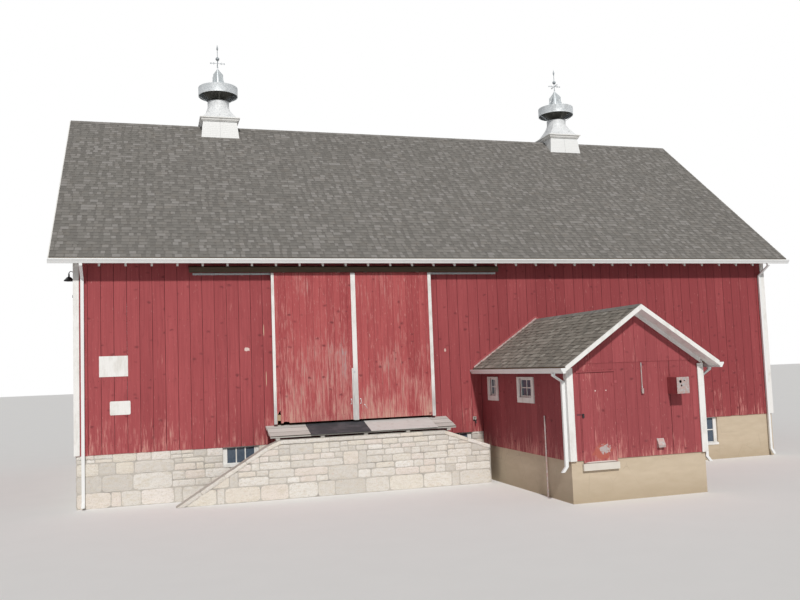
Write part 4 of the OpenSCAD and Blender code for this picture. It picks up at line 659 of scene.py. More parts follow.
most = add(t, "ShaderNodeCombineXYZ", {1: given["Warp"], 2: 0.0}).outputs[0]
jog = add(t, "FunctionNodeRandomValue", {0: least, 1: most, "Seed": given["Seed"]}, data_type="FLOAT_VECTOR").outputs[0]
row = add(t, "GeometryNodeSetPosition", {"Geometry": row, "Offset": jog}).outputs[0]
wall = add(t, "GeometryNodeInstanceOnPoints", {"Points": row, "Instance": board}).outputs[0]
shade = add(t, "FunctionNodeRandomValue", {2: 0.0, 3: 1.0, "Seed": given["Seed"]}, data_type="FLOAT").outputs[1]
wall = add(t, "GeometryNodeStoreNamedAttribute", {"Geometry": wall, "Name": "tone", "Value": shade},
           data_type="FLOAT", domain="INSTANCE").outputs[0]
wall = add(t, "GeometryNodeRealizeInstances", {0: wall}).outputs[0]
spot = add(t, "ShaderNodeSeparateXYZ", {0: add(t, "GeometryNodeInputPosition").outputs[0]}).outputs
away = add(t, "ShaderNodeMath", {0: spot[0], 1: given["Middle"]}, operation="SUBTRACT").outputs[0]
away = add(t, "ShaderNodeMath", {0: away}, operation="ABSOLUTE").outputs[0]
fall = add(t, "ShaderNodeMath", {0: away, 1: given["Slope"]}, operation="MULTIPLY").outputs[0]
limit = add(t, "ShaderNodeMath", {0: given["Peak"], 1: fall}, operation="SUBTRACT").outputs[0]
top = add(t, "ShaderNodeMath", {0: spot[2], 1: limit}, operation="MINIMUM").outputs[0]
wall = add(t, "GeometryNodeSetPosition", {"Geometry": wall, "Position": add(
    t, "ShaderNodeCombineXYZ", {0: spot[0], 1: spot[1], 2: top}).outputs[0]}).outputs[0]
wall = add(t, "GeometryNodeSetMaterial", {"Geometry": wall, "Material": given["Paint"]}).outputs[0]
facing = add(t, "ShaderNodeSeparateXYZ", {0: add(t, "GeometryNodeInputNormal").outputs[0]}).outputs[1]
inner = add(t, "ShaderNodeMath", {0: facing, 1: 0.5}, operation="GREATER_THAN").outputs[0]
wall = add(t, "GeometryNodeSetMaterial", {"Geometry": wall, "Selection": inner, "Material": given["Back"]}).outputs[0]
wall = add(t, "GeometryNodeTransform", {"Geometry": wall, "Translation": given["Place"], "Rotation": given["Turn"]}).outputs[0]
add(t, "NodeGroupOutput", {0: wall})
print("board tree:", len(t.nodes), "nodes")


# %% One panel of boards
def panel(name, length, height, turn, place, seed, finish=red_paint, pitch=0.305, groove=0.006,
          thickness=0.025, foot=0.012, warp=0.003, peak=None, slope=0.0, back=None):
    """Boards from place along a wall that is turned by turn degrees; they face -Y before the turn."""
    boards = max(1, round(length / pitch))
    if peak is not None:
        boards += boards % 2
    return grown(name, board_tree, {
        "Boards": boards, "Pitch": length / boards, "Height": height, "Thickness": thickness, "Groove": groove,
        "Foot wear": foot, "Warp": warp, "Peak": height if peak is None else peak, "Slope": slope,
        "Middle": length / 2, "Seed": seed, "Paint": finish, "Back": back or upright_timber,
        "Turn": (0.0, 0.0, math.radians(turn)), "Place": tuple(place)})


# %% [markdown]
# Sizes that several pieces share come from the CAD nodes' own boxes. The wall's rails lie
# at four levels behind the boards, as in the CAD model.

# %% Boards of the barn's four walls
skin = 0.025
lo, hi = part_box("left_gable_wall")[0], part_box("right_gable_wall")[1]
front_lo, front_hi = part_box("front_wall_left")
foot_z, wall_top = front_lo[2], front_hi[2]
x_left, x_right, y_front, y_back = lo[0], hi[0], front_lo[1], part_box("back_wall")[1][1]
door_l, door_r = front_hi[0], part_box("front_wall_right")[0][0]
base_top = foot_z + 0.025
wall_h = wall_top - base_top
levels = [base_top + k * (wall_h - 0.12) for k in (0.02, 0.36, 0.68, 0.975)]


def rails(x0, x1, y, side):
    """Corner pairs of the rails behind a wall's boards, from x0 to x1; side is 1 for the front and -1 for the back."""
    near, far = y + side * 0.0245, y + side * 0.075
    return [((x0, min(near, far), z), (x1, max(near, far), z + 0.12)) for z in levels]


def wall_piece(name, panels, rail_corners, node):
    """A wall's boards and rails as one piece."""
    pieces = panels + ([boxes(name + "_rails", rail_corners, level_timber)] if rail_corners else [])
    return settled(joined(name, pieces), "barn", "red_boards", node)


h = wall_top - foot_z
wall_piece("front_boards_left", [panel("a", door_l - x_left, h, 0, (x_left, y_front, foot_z), 3)],
           rails(x_left + 0.075, door_l, y_front, 1), "front_wall_left")
wall_piece("front_boards_right", [panel("a", x_right - door_r, h, 0, (door_r, y_front, foot_z), 5)],
           rails(door_r, x_right - 0.075, y_front, 1), "front_wall_right")
wall_piece("back_boards", [panel("a", x_right - x_left, h, 180, (x_right, y_back, foot_z), 7)],
           rails(x_left + 0.075, x_right - 0.075, y_back, -1), "back_wall")

# %% Boards over and under the wagon doorway
head_z = base_top + 4.27
floor_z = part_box("barn_floor")[1][2]
over = panel("a", door_r - door_l, wall_top - head_z, 0, (door_l, y_front, head_z), 11, foot=0.0)
under = panel("b", door_r - door_l, floor_z - 0.05 - foot_z, 0, (door_l, y_front, foot_z), 12)
wall_piece("front_boards_header", [over, under],
           [((door_l, y_front + 0.0245, head_z), (door_r, y_front + 0.075, head_z + 0.12))], "front_wall_header")

# %% Boards of the two gables
roof_lo, roof_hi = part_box("roof_front")
slope = math.tan(math.radians(40.4))
ridge_z = roof_hi[2]
roof_v = 0.045 / math.cos(math.radians(40.4))
peak = ridge_z - roof_v - 0.0002 - foot_z
gable_len = y_back - y_front - 2 * skin
for side, turn, x, y, node in (("left", -90, x_left, y_back - skin, "left_gable_wall"),
                               ("right", 90, x_right, y_front + skin, "right_gable_wall")):
    inward = 1 if side == "left" else -1
    near, far = x + inward * 0.0245, x + inward * 0.075
    level = [((min(near, far), y_front + 0.075, z), (max(near, far), y_back - 0.075, z + 0.12)) for z in levels]
    half_w = (y_back - y_front) / 2
    middle = (y_back + y_front) / 2
    for k in (0.35, 0.7):
        z = wall_top + k * half_w * slope
        reach = (1 - k) * half_w - 0.22
        level.append(((min(near, far), middle - reach, z), (max(near, far), middle + reach, z + 0.12)))
    wall_piece(side + "_gable_boards", [panel("a", gable_len, peak, turn, (x, y, foot_z), 21 + inward, peak=peak, slope=slope)],
               level, node)

# %% [markdown]
# Laminated asphalt shingles lie in courses 143 mm apart. Each has a plain lower layer and,
# glued on it, tabs of uneven width, so a roof looks mottled with short dashes. The tree
# lays full-length courses tilted by their own thickness, then tabs on them, and cuts off
# whatever would stick out past the roof's ends. The ridge is closed with folded caps.

# %% A tree for a roof slope of shingles
slope_tree, given = new_tree("shingle_slope", [
    ("Courses", "Int"), ("Tabs", "Int"), ("Length", "Float"), ("Exposure", "Float"), ("Tab", "Float"), ("Butt", "Float"),
    ("Seed", "Int"), ("Material", "Material"), ("Turn", "Vector"), ("Place", "Vector")])
t = slope_tree
tilt = add(t, "ShaderNodeMath", {0: given["Butt"], 1: given["Exposure"]}, operation="DIVIDE").outputs[0]
tilt = add(t, "ShaderNodeMath", {0: tilt, 1: -1.0}, operation="MULTIPLY").outputs[0]
lean = add(t, "ShaderNodeCombineXYZ", {0: tilt}).outputs[0]
lap = add(t, "ShaderNodeMath", {0: given["Exposure"], 1: 1.12}, operation="MULTIPLY").outputs[0]
strip = add(t, "GeometryNodeMeshCube", {"Size": add(
    t, "ShaderNodeCombineXYZ", {0: given["Length"], 1: lap, 2: given["Butt"]}).outputs[0]}).outputs[0]
middle_x = add(t, "ShaderNodeMath", {0: given["Length"], 1: 0.5}, operation="MULTIPLY").outputs[0]
middle_y = add(t, "ShaderNodeMath", {0: given["Exposure"], 1: 0.5}, operation="MULTIPLY").outputs[0]
lift = add(t, "ShaderNodeMath", {0: given["Butt"], 1: 0.9}, operation="MULTIPLY").outputs[0]
start = add(t, "ShaderNodeCombineXYZ", {0: middle_x, 1: middle_y, 2: lift}).outputs[0]
course_step = add(t, "ShaderNodeCombineXYZ", {1: given["Exposure"]}).outputs[0]
course_line = add(t, "GeometryNodeMeshLine", {"Count": given["Courses"], "Start Location": start, "Offset": course_step}).outputs[0]
strips = add(t, "GeometryNodeInstanceOnPoints", {"Points": course_line, "Instance": strip, "Rotation": lean}).outputs[0]
strips = add(t, "GeometryNodeStoreNamedAttribute", {"Geometry": strips, "Name": "tone", "Value": 0.12},
             data_type="FLOAT", domain="INSTANCE").outputs[0]
tab = add(t, "GeometryNodeMeshCube", {"Size": add(
    t, "ShaderNodeCombineXYZ", {0: given["Tab"], 1: given["Exposure"], 2: given["Butt"]}).outputs[0]}).outputs[0]
rows = add(t, "ShaderNodeMath", {0: given["Courses"], 1: -1.0}, operation="ADD").outputs[0]
deep = add(t, "ShaderNodeMath", {0: rows, 1: given["Exposure"]}, operation="MULTIPLY").outputs[0]
grid = add(t, "GeometryNodeMeshGrid", {"Size X": given["Length"], "Size Y": deep, "Vertices X": given["Tabs"],
                                       "Vertices Y": given["Courses"]}).outputs[0]
high = add(t, "ShaderNodeMath", {0: deep, 1: 0.5, 2: middle_y}, operation="MULTIPLY_ADD").outputs[0]
upper = add(t, "ShaderNodeMath", {0: given["Butt"], 1: 1.7}, operation="MULTIPLY").outputs[0]
grid = add(t, "GeometryNodeTransform", {"Geometry": grid, "Translation": add(
    t, "ShaderNodeCombineXYZ", {0: middle_x, 1: high, 2: upper}).outputs[0]}).outputs[0]
wander = add(t, "ShaderNodeMath", {0: given["Tab"], 1: 0.32}, operation="MULTIPLY").outputs[0]
back = add(t, "ShaderNodeMath", {0: wander, 1: -1.0}, operation="MULTIPLY").outputs[0]
jog = add(t, "FunctionNodeRandomValue", {0: add(t, "ShaderNodeCombineXYZ", {0: back, 1: -0.003}).outputs[0],
                                         1: add(t, "ShaderNodeCombineXYZ", {0: wander, 1: 0.003}).outputs[0],
                                         "Seed": given["Seed"]}, data_type="FLOAT_VECTOR").outputs[0]
grid = add(t, "GeometryNodeSetPosition", {"Geometry": grid, "Offset": jog}).outputs[0]
stretch = add(t, "FunctionNodeRandomValue", {0: (0.42, 1.0, 0.8), 1: (1.0, 1.0, 1.2), "Seed": given["Seed"]},
              data_type="FLOAT_VECTOR").outputs[0]
tabs = add(t, "GeometryNodeInstanceOnPoints", {"Points": grid, "Instance": tab, "Rotation": lean, "Scale": stretch}).outputs[0]
shade = add(t, "FunctionNodeRandomValue", {2: 0.15, 3: 1.0, "Seed": given["Seed"]}, data_type="FLOAT").outputs[1]
tabs = add(t, "GeometryNodeStoreNamedAttribute", {"Geometry": tabs, "Name": "tone", "Value": shade},
           data_type="FLOAT", domain="INSTANCE").outputs[0]
both = add(t, "GeometryNodeJoinGeometry")
t.links.new(strips, both.inputs[0])
t.links.new(tabs, both.inputs[0])
roof = add(t, "GeometryNodeRealizeInstances", {0: both.outputs[0]}).outputs[0]
spot = add(t, "ShaderNodeSeparateXYZ", {0: add(t, "GeometryNodeInputPosition").outputs[0]}).outputs
inside = add(t, "ShaderNodeMath", {0: spot[0], 1: 0.0}, operation="MAXIMUM").outputs[0]
inside = add(t, "ShaderNodeMath", {0: inside, 1: given["Length"]}, operation="MINIMUM").outputs[0]
roof = add(t, "GeometryNodeSetPosition", {"Geometry": roof, "Position": add(
    t, "ShaderNodeCombineXYZ", {0: inside, 1: spot[1], 2: spot[2]}).outputs[0]}).outputs[0]
roof = add(t, "GeometryNodeSetMaterial", {"Geometry": roof, "Material": given["Material"]}).outputs[0]
roof = add(t, "GeometryNodeTransform", {"Geometry": roof, "Translation": given["Place"], "Rotation": given["Turn"]}).outputs[0]
add(t, "NodeGroupOutput", {0: roof})
print("shingle tree:", len(t.nodes), "nodes")


# %% Laying a slope
def shingles(name, length, run, turn, place, seed, grit=shingle_grit, tab=0.21, butt=0.0065):
    """A slope of shingles, butt thick; turn is (tilt, heading) in degrees, place its lower left corner."""
    courses = round(run / 0.143)
    return grown(name, slope_tree, {
        "Courses": courses, "Tabs": round(length / tab) + 1, "Length": length, "Exposure": run / courses, "Tab": tab,
        "Butt": butt, "Seed": seed, "Material": grit,
        "Turn": (math.radians(turn[0]), 0.0, math.radians(turn[1])), "Place": tuple(place)})


def deck(name, outline, axis, start, end, material):
    """A slab of roof boards: an outline in (side, z) run along x or y."""
    made = bmesh.new()
    rings = []
    for at in (start, end):
        rings.append([made.verts.new((at, s, z) if axis == "x" else (s, at, z)) for s, z in outline])
    made.faces.new(rings[0])
    made.faces.new(rings[1][::-1])
    for i in range(len(outline)):
        j = (i + 1) % len(outline)
        made.faces.new((rings[0][j], rings[0][i], rings[1][i], rings[1][j]))
    bmesh.ops.recalc_face_normals(made, faces=made.faces)
    mesh = bpy.data.meshes.new(name)
    made.to_mesh(mesh)
    made.free()
    mesh.materials.append(material)
    piece = bpy.data.objects.new(name, mesh)
    scene.collection.objects.link(piece)
    return piece


# %% The barn's two slopes and their ridge caps
pitch = math.radians(40.4)
y_mid = (y_front + y_back) / 2
eave_y, eave_z = roof_lo[1], roof_lo[2] + roof_v
roof_len = roof_hi[0] - roof_lo[0]
cover = 0.016
cover_v = cover / math.cos(pitch)
run = (y_mid - eave_y) / math.cos(pitch)
for name, node, sign in (("front_shingles", "roof_front", -1), ("back_shingles", "roof_back", 1)):
    y_eave = y_mid + sign * (y_mid - eave_y)
    boards = deck("deck", [(y_eave, eave_z - roof_v), (y_eave, eave_z - cover_v), (y_mid, ridge_z - cover_v),
                           (y_mid, ridge_z - roof_v)], "x", roof_lo[0], roof_hi[0], level_timber)
    corner = Vector((roof_lo[0] if sign < 0 else roof_hi[0], y_eave, eave_z - cover_v))
    tiles = shingles("tiles", roof_len, run, (40.4, 0 if sign < 0 else 180), corner, 31 + sign)
    settled(joined(name, [boards, tiles]), "barn", "shingles", node)

# %% The wing's two slopes
wing_lo, wing_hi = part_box("wing_roof_left")
wing_pitch = math.radians(34)
wing_v, wing_cover = 0.04 / math.cos(wing_pitch), 0.016 / math.cos(wing_pitch)
wing_mid, wing_ridge = wing_hi[0], wing_hi[2]
wing_run = (wing_mid - wing_lo[0]) / math.cos(wing_pitch)
for name, node, sign in (("wing_left_shingles", "wing_roof_left", -1), ("wing_right_shingles", "wing_roof_right", 1)):
    x_eave, z_eave = wing_mid + sign * (wing_mid - wing_lo[0]), wing_lo[2] + wing_v
    boards = deck("deck", [(x_eave, z_eave - wing_v), (x_eave, z_eave - wing_cover), (wing_mid, wing_ridge - wing_cover),
                           (wing_mid, wing_ridge - wing_v)], "y", wing_lo[1], wing_hi[1], level_timber)
    corner = (x_eave, wing_hi[1] if sign < 0 else wing_lo[1], z_eave - wing_cover)
    tiles = shingles("tiles", wing_hi[1] - wing_lo[1], wing_run, (34, -90 if sign < 0 else 90), corner, 41 + sign,
                     wing_grit, 0.30, 0.0085)
    settled(joined(name, [boards, tiles]), "barn", "shingles", node)

# %% [markdown]
# A ridge is closed with caps: single shingles folded over it, each lapping the one before.
# They stop at the ventilators, whose boxes stand astride the ridge.

# %% A tree for ridge caps
cap_tree, given = new_tree("ridge_caps", [
    ("Caps", "Int"), ("Step", "Float"), ("Tilt", "Float"), ("Seed", "Int"), ("Material", "Material"),
    ("Turn", "Vector"), ("Place", "Vector")])
t = cap_tree
leaf = add(t, "GeometryNodeMeshCube", {"Size": (0.3, 0.155, 0.006)}).outputs[0]
both = add(t, "GeometryNodeJoinGeometry")
for sign in (-1, 1):
    flat = add(t, "GeometryNodeTransform", {"Geometry": leaf, "Translation": (0.0, 0.0775 * sign, 0.0)}).outputs[0]
    fold = add(t, "ShaderNodeMath", {0: given["Tilt"], 1: -float(sign)}, operation="MULTIPLY").outputs[0]
    t.links.new(add(t, "GeometryNodeTransform", {"Geometry": flat, "Rotation": add(
        t, "ShaderNodeCombineXYZ", {0: fold}).outputs[0]}).outputs[0], both.inputs[0])
line = add(t, "GeometryNodeMeshLine", {"Count": given["Caps"], "Offset": add(
    t, "ShaderNodeCombineXYZ", {0: given["Step"]}).outputs[0]}).outputs[0]
caps = add(t, "GeometryNodeInstanceOnPoints", {"Points": line, "Instance": both.outputs[0], "Rotation": (0.0, 0.02, 0.0)}).outputs[0]
shade = add(t, "FunctionNodeRandomValue", {2: 0.2, 3: 1.0, "Seed": given["Seed"]}, data_type="FLOAT").outputs[1]
caps = add(t, "GeometryNodeStoreNamedAttribute", {"Geometry": caps, "Name": "tone", "Value": shade},
           data_type="FLOAT", domain="INSTANCE").outputs[0]
caps = add(t, "GeometryNodeRealizeInstances", {0: caps}).outputs[0]
caps = add(t, "GeometryNodeSetMaterial", {"Geometry": caps, "Material": given["Material"]}).outputs[0]
caps = add(t, "GeometryNodeTransform", {"Geometry": caps, "Translation": given["Place"], "Rotation": given["Turn"]}).outputs[0]
add(t, "NodeGroupOutput", {0: caps})

# %% Caps on both ridges
vent_lo, vent_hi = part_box("vent_bases")
vent_half = 0.61
vents = [vent_lo[0] + vent_half + 0.017, vent_hi[0] - vent_half - 0.017]


def cap_row(name, start, end, turn, tilt, place, seed):
    """Caps from start to end along a ridge; place gives the point of that line at start."""
    count = round((end - start - 0.3) / 0.143) + 1
    return grown(name, cap_tree, {"Caps": count, "Step": (end - start - 0.3) / (count - 1), "Tilt": tilt, "Seed": seed,
                                  "Material": shingle_grit, "Turn": (0.0, 0.0, math.radians(turn)), "Place": place})


ends = [roof_lo[0], vents[0] - vent_half, vents[0] + vent_half, vents[1] - vent_half, vents[1] + vent_half, roof_hi[0]]
rows = [cap_row("row", a, b, 0, pitch, (a + 0.15, y_mid, ridge_z + 0.001), 51 + i)
        for i, (a, b) in enumerate(zip(ends[::2], ends[1::2]))]
rows.append(cap_row("row", wing_lo[1], wing_hi[1], 90, wing_pitch, (wing_mid, wing_lo[1] + 0.15, wing_ridge + 0.001), 57))
settled(joined("ridge_caps", rows), "barn", "shingles")

# %% [markdown]
# The doors and the wing's walls carry a lot of joinery: edge boards, battens, hinges, a wall
# box, window holes and the broken foot of the left leaf. So they keep their CAD shape, and a
# tree cuts the V-shaped joints between boards into a merged copy of it. It also numbers the
# boards, so each has a tone, and paints what stands proud of the boards in another finish.

# %% A tree that cuts board joints
joint_tree, given = new_tree("board_joints", [
    ("Joints", "Int"), ("Start", "Vector"), ("Step", "Vector"), ("Width", "Float"), ("Length", "Float"), ("Seed", "Int"),
    ("Front", "Float"), ("Until", "Float"), ("Paint", "Material"), ("Raised", "Material")], takes_mesh=True)
t = joint_tree
wedge = add(t, "GeometryNodeMeshCube", {"Size": add(
    t, "ShaderNodeCombineXYZ", {0: given["Width"], 1: given["Width"], 2: given["Length"]}).outputs[0]}).outputs[0]
line = add(t, "GeometryNodeMeshLine", {"Count": given["Joints"], "Start Location": given["Start"], "Offset": given["Step"]}).outputs[0]
wedges = add(t, "GeometryNodeInstanceOnPoints", {"Points": line, "Instance": wedge, "Rotation": (0.0, 0.0, math.radians(45))}).outputs[0]
wedges = add(t, "GeometryNodeRealizeInstances", {0: wedges}).outputs[0]
cut = add(t, "GeometryNodeMeshBoolean", {0: given["Geometry"], 1: wedges}, operation="DIFFERENCE").outputs[0]
spot = add(t, "GeometryNodeInputPosition").outputs[0]
from_start = add(t, "ShaderNodeVectorMath", {0: spot, 1: given["Start"]}, operation="SUBTRACT").outputs[0]
along = add(t, "ShaderNodeVectorMath", {0: from_start, 1: given["Step"]}, operation="DOT_PRODUCT").outputs["Value"]
square = add(t, "ShaderNodeVectorMath", {0: given["Step"], 1: given["Step"]}, operation="DOT_PRODUCT").outputs["Value"]
number = add(t, "ShaderNodeMath", {0: along, 1: square}, operation="DIVIDE").outputs[0]
number = add(t, "ShaderNodeMath", {0: number, 1: 100.0}, operation="ADD").outputs[0]
number = add(t, "ShaderNodeMath", {0: number}, operation="FLOOR").outputs[0]
shade = add(t, "FunctionNodeRandomValue", {2: 0.0, 3: 1.0, "ID": number, "Seed": given["Seed"]}, data_type="FLOAT").outputs[1]
cut = add(t, "GeometryNodeStoreNamedAttribute", {"Geometry": cut, "Name": "tone", "Value": shade},
          data_type="FLOAT", domain="FACE").outputs[0]
cut = add(t, "GeometryNodeSetMaterial", {"Geometry": cut, "Material": given["Paint"]}).outputs[0]
parts = add(t, "ShaderNodeSeparateXYZ", {0: spot}).outputs
proud = add(t, "ShaderNodeMath", {0: parts[1], 1: given["Front"]}, operation="LESS_THAN").outputs[0]
left_of = add(t, "ShaderNodeMath", {0: parts[0], 1: given["Until"]}, operation="LESS_THAN").outputs[0]
proud = add(t, "ShaderNodeMath", {0: proud, 1: left_of}, operation="MULTIPLY").outputs[0]
cut = add(t, "GeometryNodeSetMaterial", {"Geometry": cut, "Selection": proud, "Material": given["Raised"]}).outputs[0]
add(t, "NodeGroupOutput", {0: cut})


# %% Joints in the doors and the wing's walls
def merged_copy(name):
    """A CAD node's mesh, copied and with its doubled corners merged."""
    made = bmesh.new()
    made.from_mesh(nodes[name].data)
    bmesh.ops.remove_doubles(made, verts=made.verts, dist=0.00002)
    mesh = bpy.data.meshes.new(name + "_copy")
    made.to_mesh(mesh)
    made.free()
    return mesh


def jointed(name, node, start, step, count, front, finish, raised, seed, mesh=None, width=0.008, until=100.0):
    """A CAD node with joints cut from start on, step apart; raised goes on what lies before front and left of until."""
    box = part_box(node)
    return grown(name, joint_tree, {
        "Joints": count, "Start": (start[0], start[1], (box[0][2] + box[1][2]) / 2), "Step": step, "Width": width,
        "Length": box[1][2] - box[0][2] + 0.2, "Seed": seed, "Front": front, "Until": until,
        "Paint": finish, "Raised": raised}, mesh or merged_copy(node))


leaf_face = y_front - 0.145


def carved(mesh, outlines, near, far):
    """A mesh with holes sawn through it; each outline in (x, z) is cut from y = near to y = far."""
    made = bmesh.new()
    for outline in outlines:
        rings = [[made.verts.new((x, y, z)) for x, z in outline] for y in (near, far)]
        made.faces.new(rings[0])
        made.faces.new(rings[1][::-1])
        for i in range(len(outline)):
            j = (i + 1) % len(outline)
            made.faces.new((rings[0][j], rings[0][i], rings[1][i], rings[1][j]))
    bmesh.ops.recalc_face_normals(made, faces=made.faces)
    saw = bpy.data.objects.new("saw", bpy.data.meshes.new("saw"))
    made.to_mesh(saw.data)
    made.free()
    panel_object = bpy.data.objects.new("panel", mesh)
    for piece in (saw, panel_object):
        scene.collection.objects.link(piece)
    cut = panel_object.modifiers.new("cut", "BOOLEAN")
    cut.operation, cut.object = "DIFFERENCE", saw
    graph = bpy.context.evaluated_depsgraph_get()
    result = bpy.data.meshes.new_from_object(panel_object.evaluated_get(graph), preserve_all_data_layers=True, depsgraph=graph)
    for piece in (saw, panel_object):
        bpy.data.objects.remove(piece)
    return result


def moved(mesh, chosen, step):
    """Moves the corners of a mesh that chosen(corner) picks."""
    for vertex in mesh.vertices:
        if chosen(vertex.co):
            vertex.co += Vector(step)
    return mesh


# %% The left leaf's broken foot
right_lo, right_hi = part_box("right_door")
leaf_foot = leaf_lo[2] + 0.02
mirrored = bmesh.new()
mirrored.from_mesh(merged_copy("right_door"))
bmesh.ops.transform(mirrored, matrix=Matrix.Translation((leaf_lo[0] + right_hi[0], 0, 0)) @ Matrix.Diagonal((-1, 1, 1, 1)),
                    verts=mirrored.verts)
bmesh.ops.reverse_faces(mirrored, faces=mirrored.faces)
left_mesh = bpy.data.meshes.new("left_leaf")
mirrored.to_mesh(left_mesh)
mirrored.free()
left_mesh = moved(left_mesh, lambda c: c.y > leaf_face + 0.0245 and leaf_foot + 0.10 < c.z < leaf_foot + 0.29, (0, 0, -0.055))
broken_board = [(0.060, -0.01), (0.060, 0.205), (0.098, 0.222), (0.118, 0.262), (0.138, 0.300), (0.158, 0.322),
                (0.172, 0.312), (0.168, 0.262), (0.180, 0.222), (0.172, 0.150), (0.182, 0.088), (0.174, 0.042), (0.180, -0.01)]
worn_foot = [(0.234, -0.01), (0.246, 0.030), (0.300, 0.040), (0.352, 0.028), (0.388, 0.034), (0.396, -0.01)]
holes = [[(leaf_lo[0] + x, leaf_foot + z) for x, z in outline] for outline in (broken_board, worn_foot)]
left_mesh = carved(left_mesh, holes, leaf_face - 0.0004, leaf_face + 0.026)
strip_edge = [(leaf_lo[0] + 0.074, leaf_lo[2] - 0.01), (leaf_lo[0] + 0.095, leaf_lo[2] - 0.01),
              (leaf_lo[0] + 0.095, leaf_hi[2] + 0.01), (leaf_lo[0] + 0.074, leaf_hi[2] + 0.01)]
left_mesh = carved(left_mesh, [strip_edge], leaf_face - 0.03, leaf_face - 0.0005)
print("left leaf:", len(left_mesh.polygons), "faces after the cuts")

# %% Joints in the leaves
for name, node, body, seed, mesh in (("left_leaf_boards", "left_door", "left_leaf", 61, left_mesh),
                                     ("right_leaf_boards", "right_door", "right_leaf", 62, None)):
    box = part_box(node)
    board_w = (box[1][0] - box[0][0]) / 12
    settled(jointed(name, node, (box[0][0] + board_w, leaf_face), (board_w, 0.0, 0.0), 11, leaf_face - 0.001,
                    worn_paint, leaf_edge_paint, seed, mesh), body, "red_boards", node)

# %% [markdown]
# The joint between the leaves is covered by a white board on a packing strip of the left
# leaf. Under the latch a bare board stiffens its left edge. Sawn boards have edges that wear
# soft, so these are bevelled; a bevel in the shader would catch the light too, but the export
# wouldn't keep it.

# %% The cover strip
def eased(piece, width):
    """Rounds the edges of boards by width metres, and keeps the result as a plain mesh."""
    bevel = piece.modifiers.new("worn_edges", "BEVEL")
    bevel.width, bevel.segments = width, 2
    graph = bpy.context.evaluated_depsgraph_get()
    soft = bpy.data.meshes.new_from_object(piece.evaluated_get(graph), preserve_all_data_layers=True, depsgraph=graph)
    piece.modifiers.clear()
    piece.data = soft
    return piece


strip_lo, strip_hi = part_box("cover_strip")
meeting = strip_lo[0] + 0.080
latch_z = base_top + 1.77
strip_boards = [((meeting - 0.068, strip_lo[1], strip_lo[2]), (meeting + 0.055, strip_lo[1] + 0.018, strip_hi[2])),
                ((meeting - 0.066, strip_lo[1] + 0.0182, strip_lo[2]), (meeting - 0.001, leaf_face - 0.0002, strip_hi[2] - 0.01)),
                ((meeting - 0.104, strip_lo[1] + 0.008, strip_lo[2] + 0.01), (meeting - 0.0685, leaf_face - 0.0002, latch_z + 0.07))]
settled(eased(boxes("cover_strip_boards", strip_boards, strip_paint), 0.0025), "left_leaf", "white_paint", "cover_strip")

# %% [markdown]
# The wing's door reaches 45 mm further down in the photograph than its CAD box, onto a lower
# doorstep, so the foot of both is let down by that much in their copies.

# %% Joints in the wing's walls and door
let_down = (0, 0, -0.045)
door_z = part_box("wing_door")[0][2]
base_mesh = moved(merged_copy("wing_foundation"), lambda c: door_z - 0.17 < c.z < door_z + 0.01, let_down)
base_mesh.materials.clear()
base_mesh.materials.append(plaster)
wing_base = bpy.data.objects.new("wing_base_walls", base_mesh)
scene.collection.objects.link(wing_base)
settled(wing_base, "barn", "plaster", "wing_foundation")
door_mesh = moved(merged_copy("wing_door"), lambda c: c.z < door_z + 0.02, let_down)
wing_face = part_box("wing_door")[0][1] + 0.028
settled(jointed("wing_front_boards", "wing_front_wall", (side_lo[0] + wing_board, wing_face), (wing_board, 0.0, 0.0), 11,
                wing_face - 1.0, wing_paint, wing_paint, 63), "barn", "red_boards", "wing_front_wall")
settled(jointed("wing_gable_boards", "wing_gable", (side_lo[0] + wing_board, wing_face - 0.012), (wing_board, 0.0, 0.0), 11,
                wing_face - 1.0, wing_paint, wing_paint, 64), "barn", "red_boards", "wing_gable")
door_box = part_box("wing_door")
board_w = (door_box[1][0] - door_box[0][0]) / 3
settled(jointed("wing_door_boards", "wing_door", (door_box[0][0] + board_w, wing_face), (board_w, 0.0, 0.0), 2,
                wing_face - 0.001, wing_door_paint, dark_iron, 65, door_mesh, until=door_box[0][0] + board_w),
        "wing_leaf", "red_boards", "wing_door")
board_w = (side_hi[1] - side_lo[1]) / 16
first = jointed("first", "wing_side_walls", (side_lo[0], side_lo[1] + board_w), (0.0, board_w, 0.0), 15, side_lo[1] - 1.0,
                wing_side_paint, wing_side_paint, 66)
settled(jointed("wing_side_boards", "wing_side_walls", (side_hi[0], side_lo[1] + board_w), (0.0, board_w, 0.0), 15,
                side_lo[1] - 1.0, wing_side_paint, wing_side_paint, 66, first.data), "barn", "red_boards", "wing_side_walls")
bpy.data.objects.remove(first)

# %% [markdown]
# The base is coursed rubble: split limestone in level courses, thin ones under the boards and
# taller ones below, with joints broken from course to course. The CAD wall stays as the mortar,
# and stones stand 8 to 14 mm proud of it. A seeded layout gives each stone its place and size,
# and one tree makes the stones: a block with pillowed edges, roughened by noise.

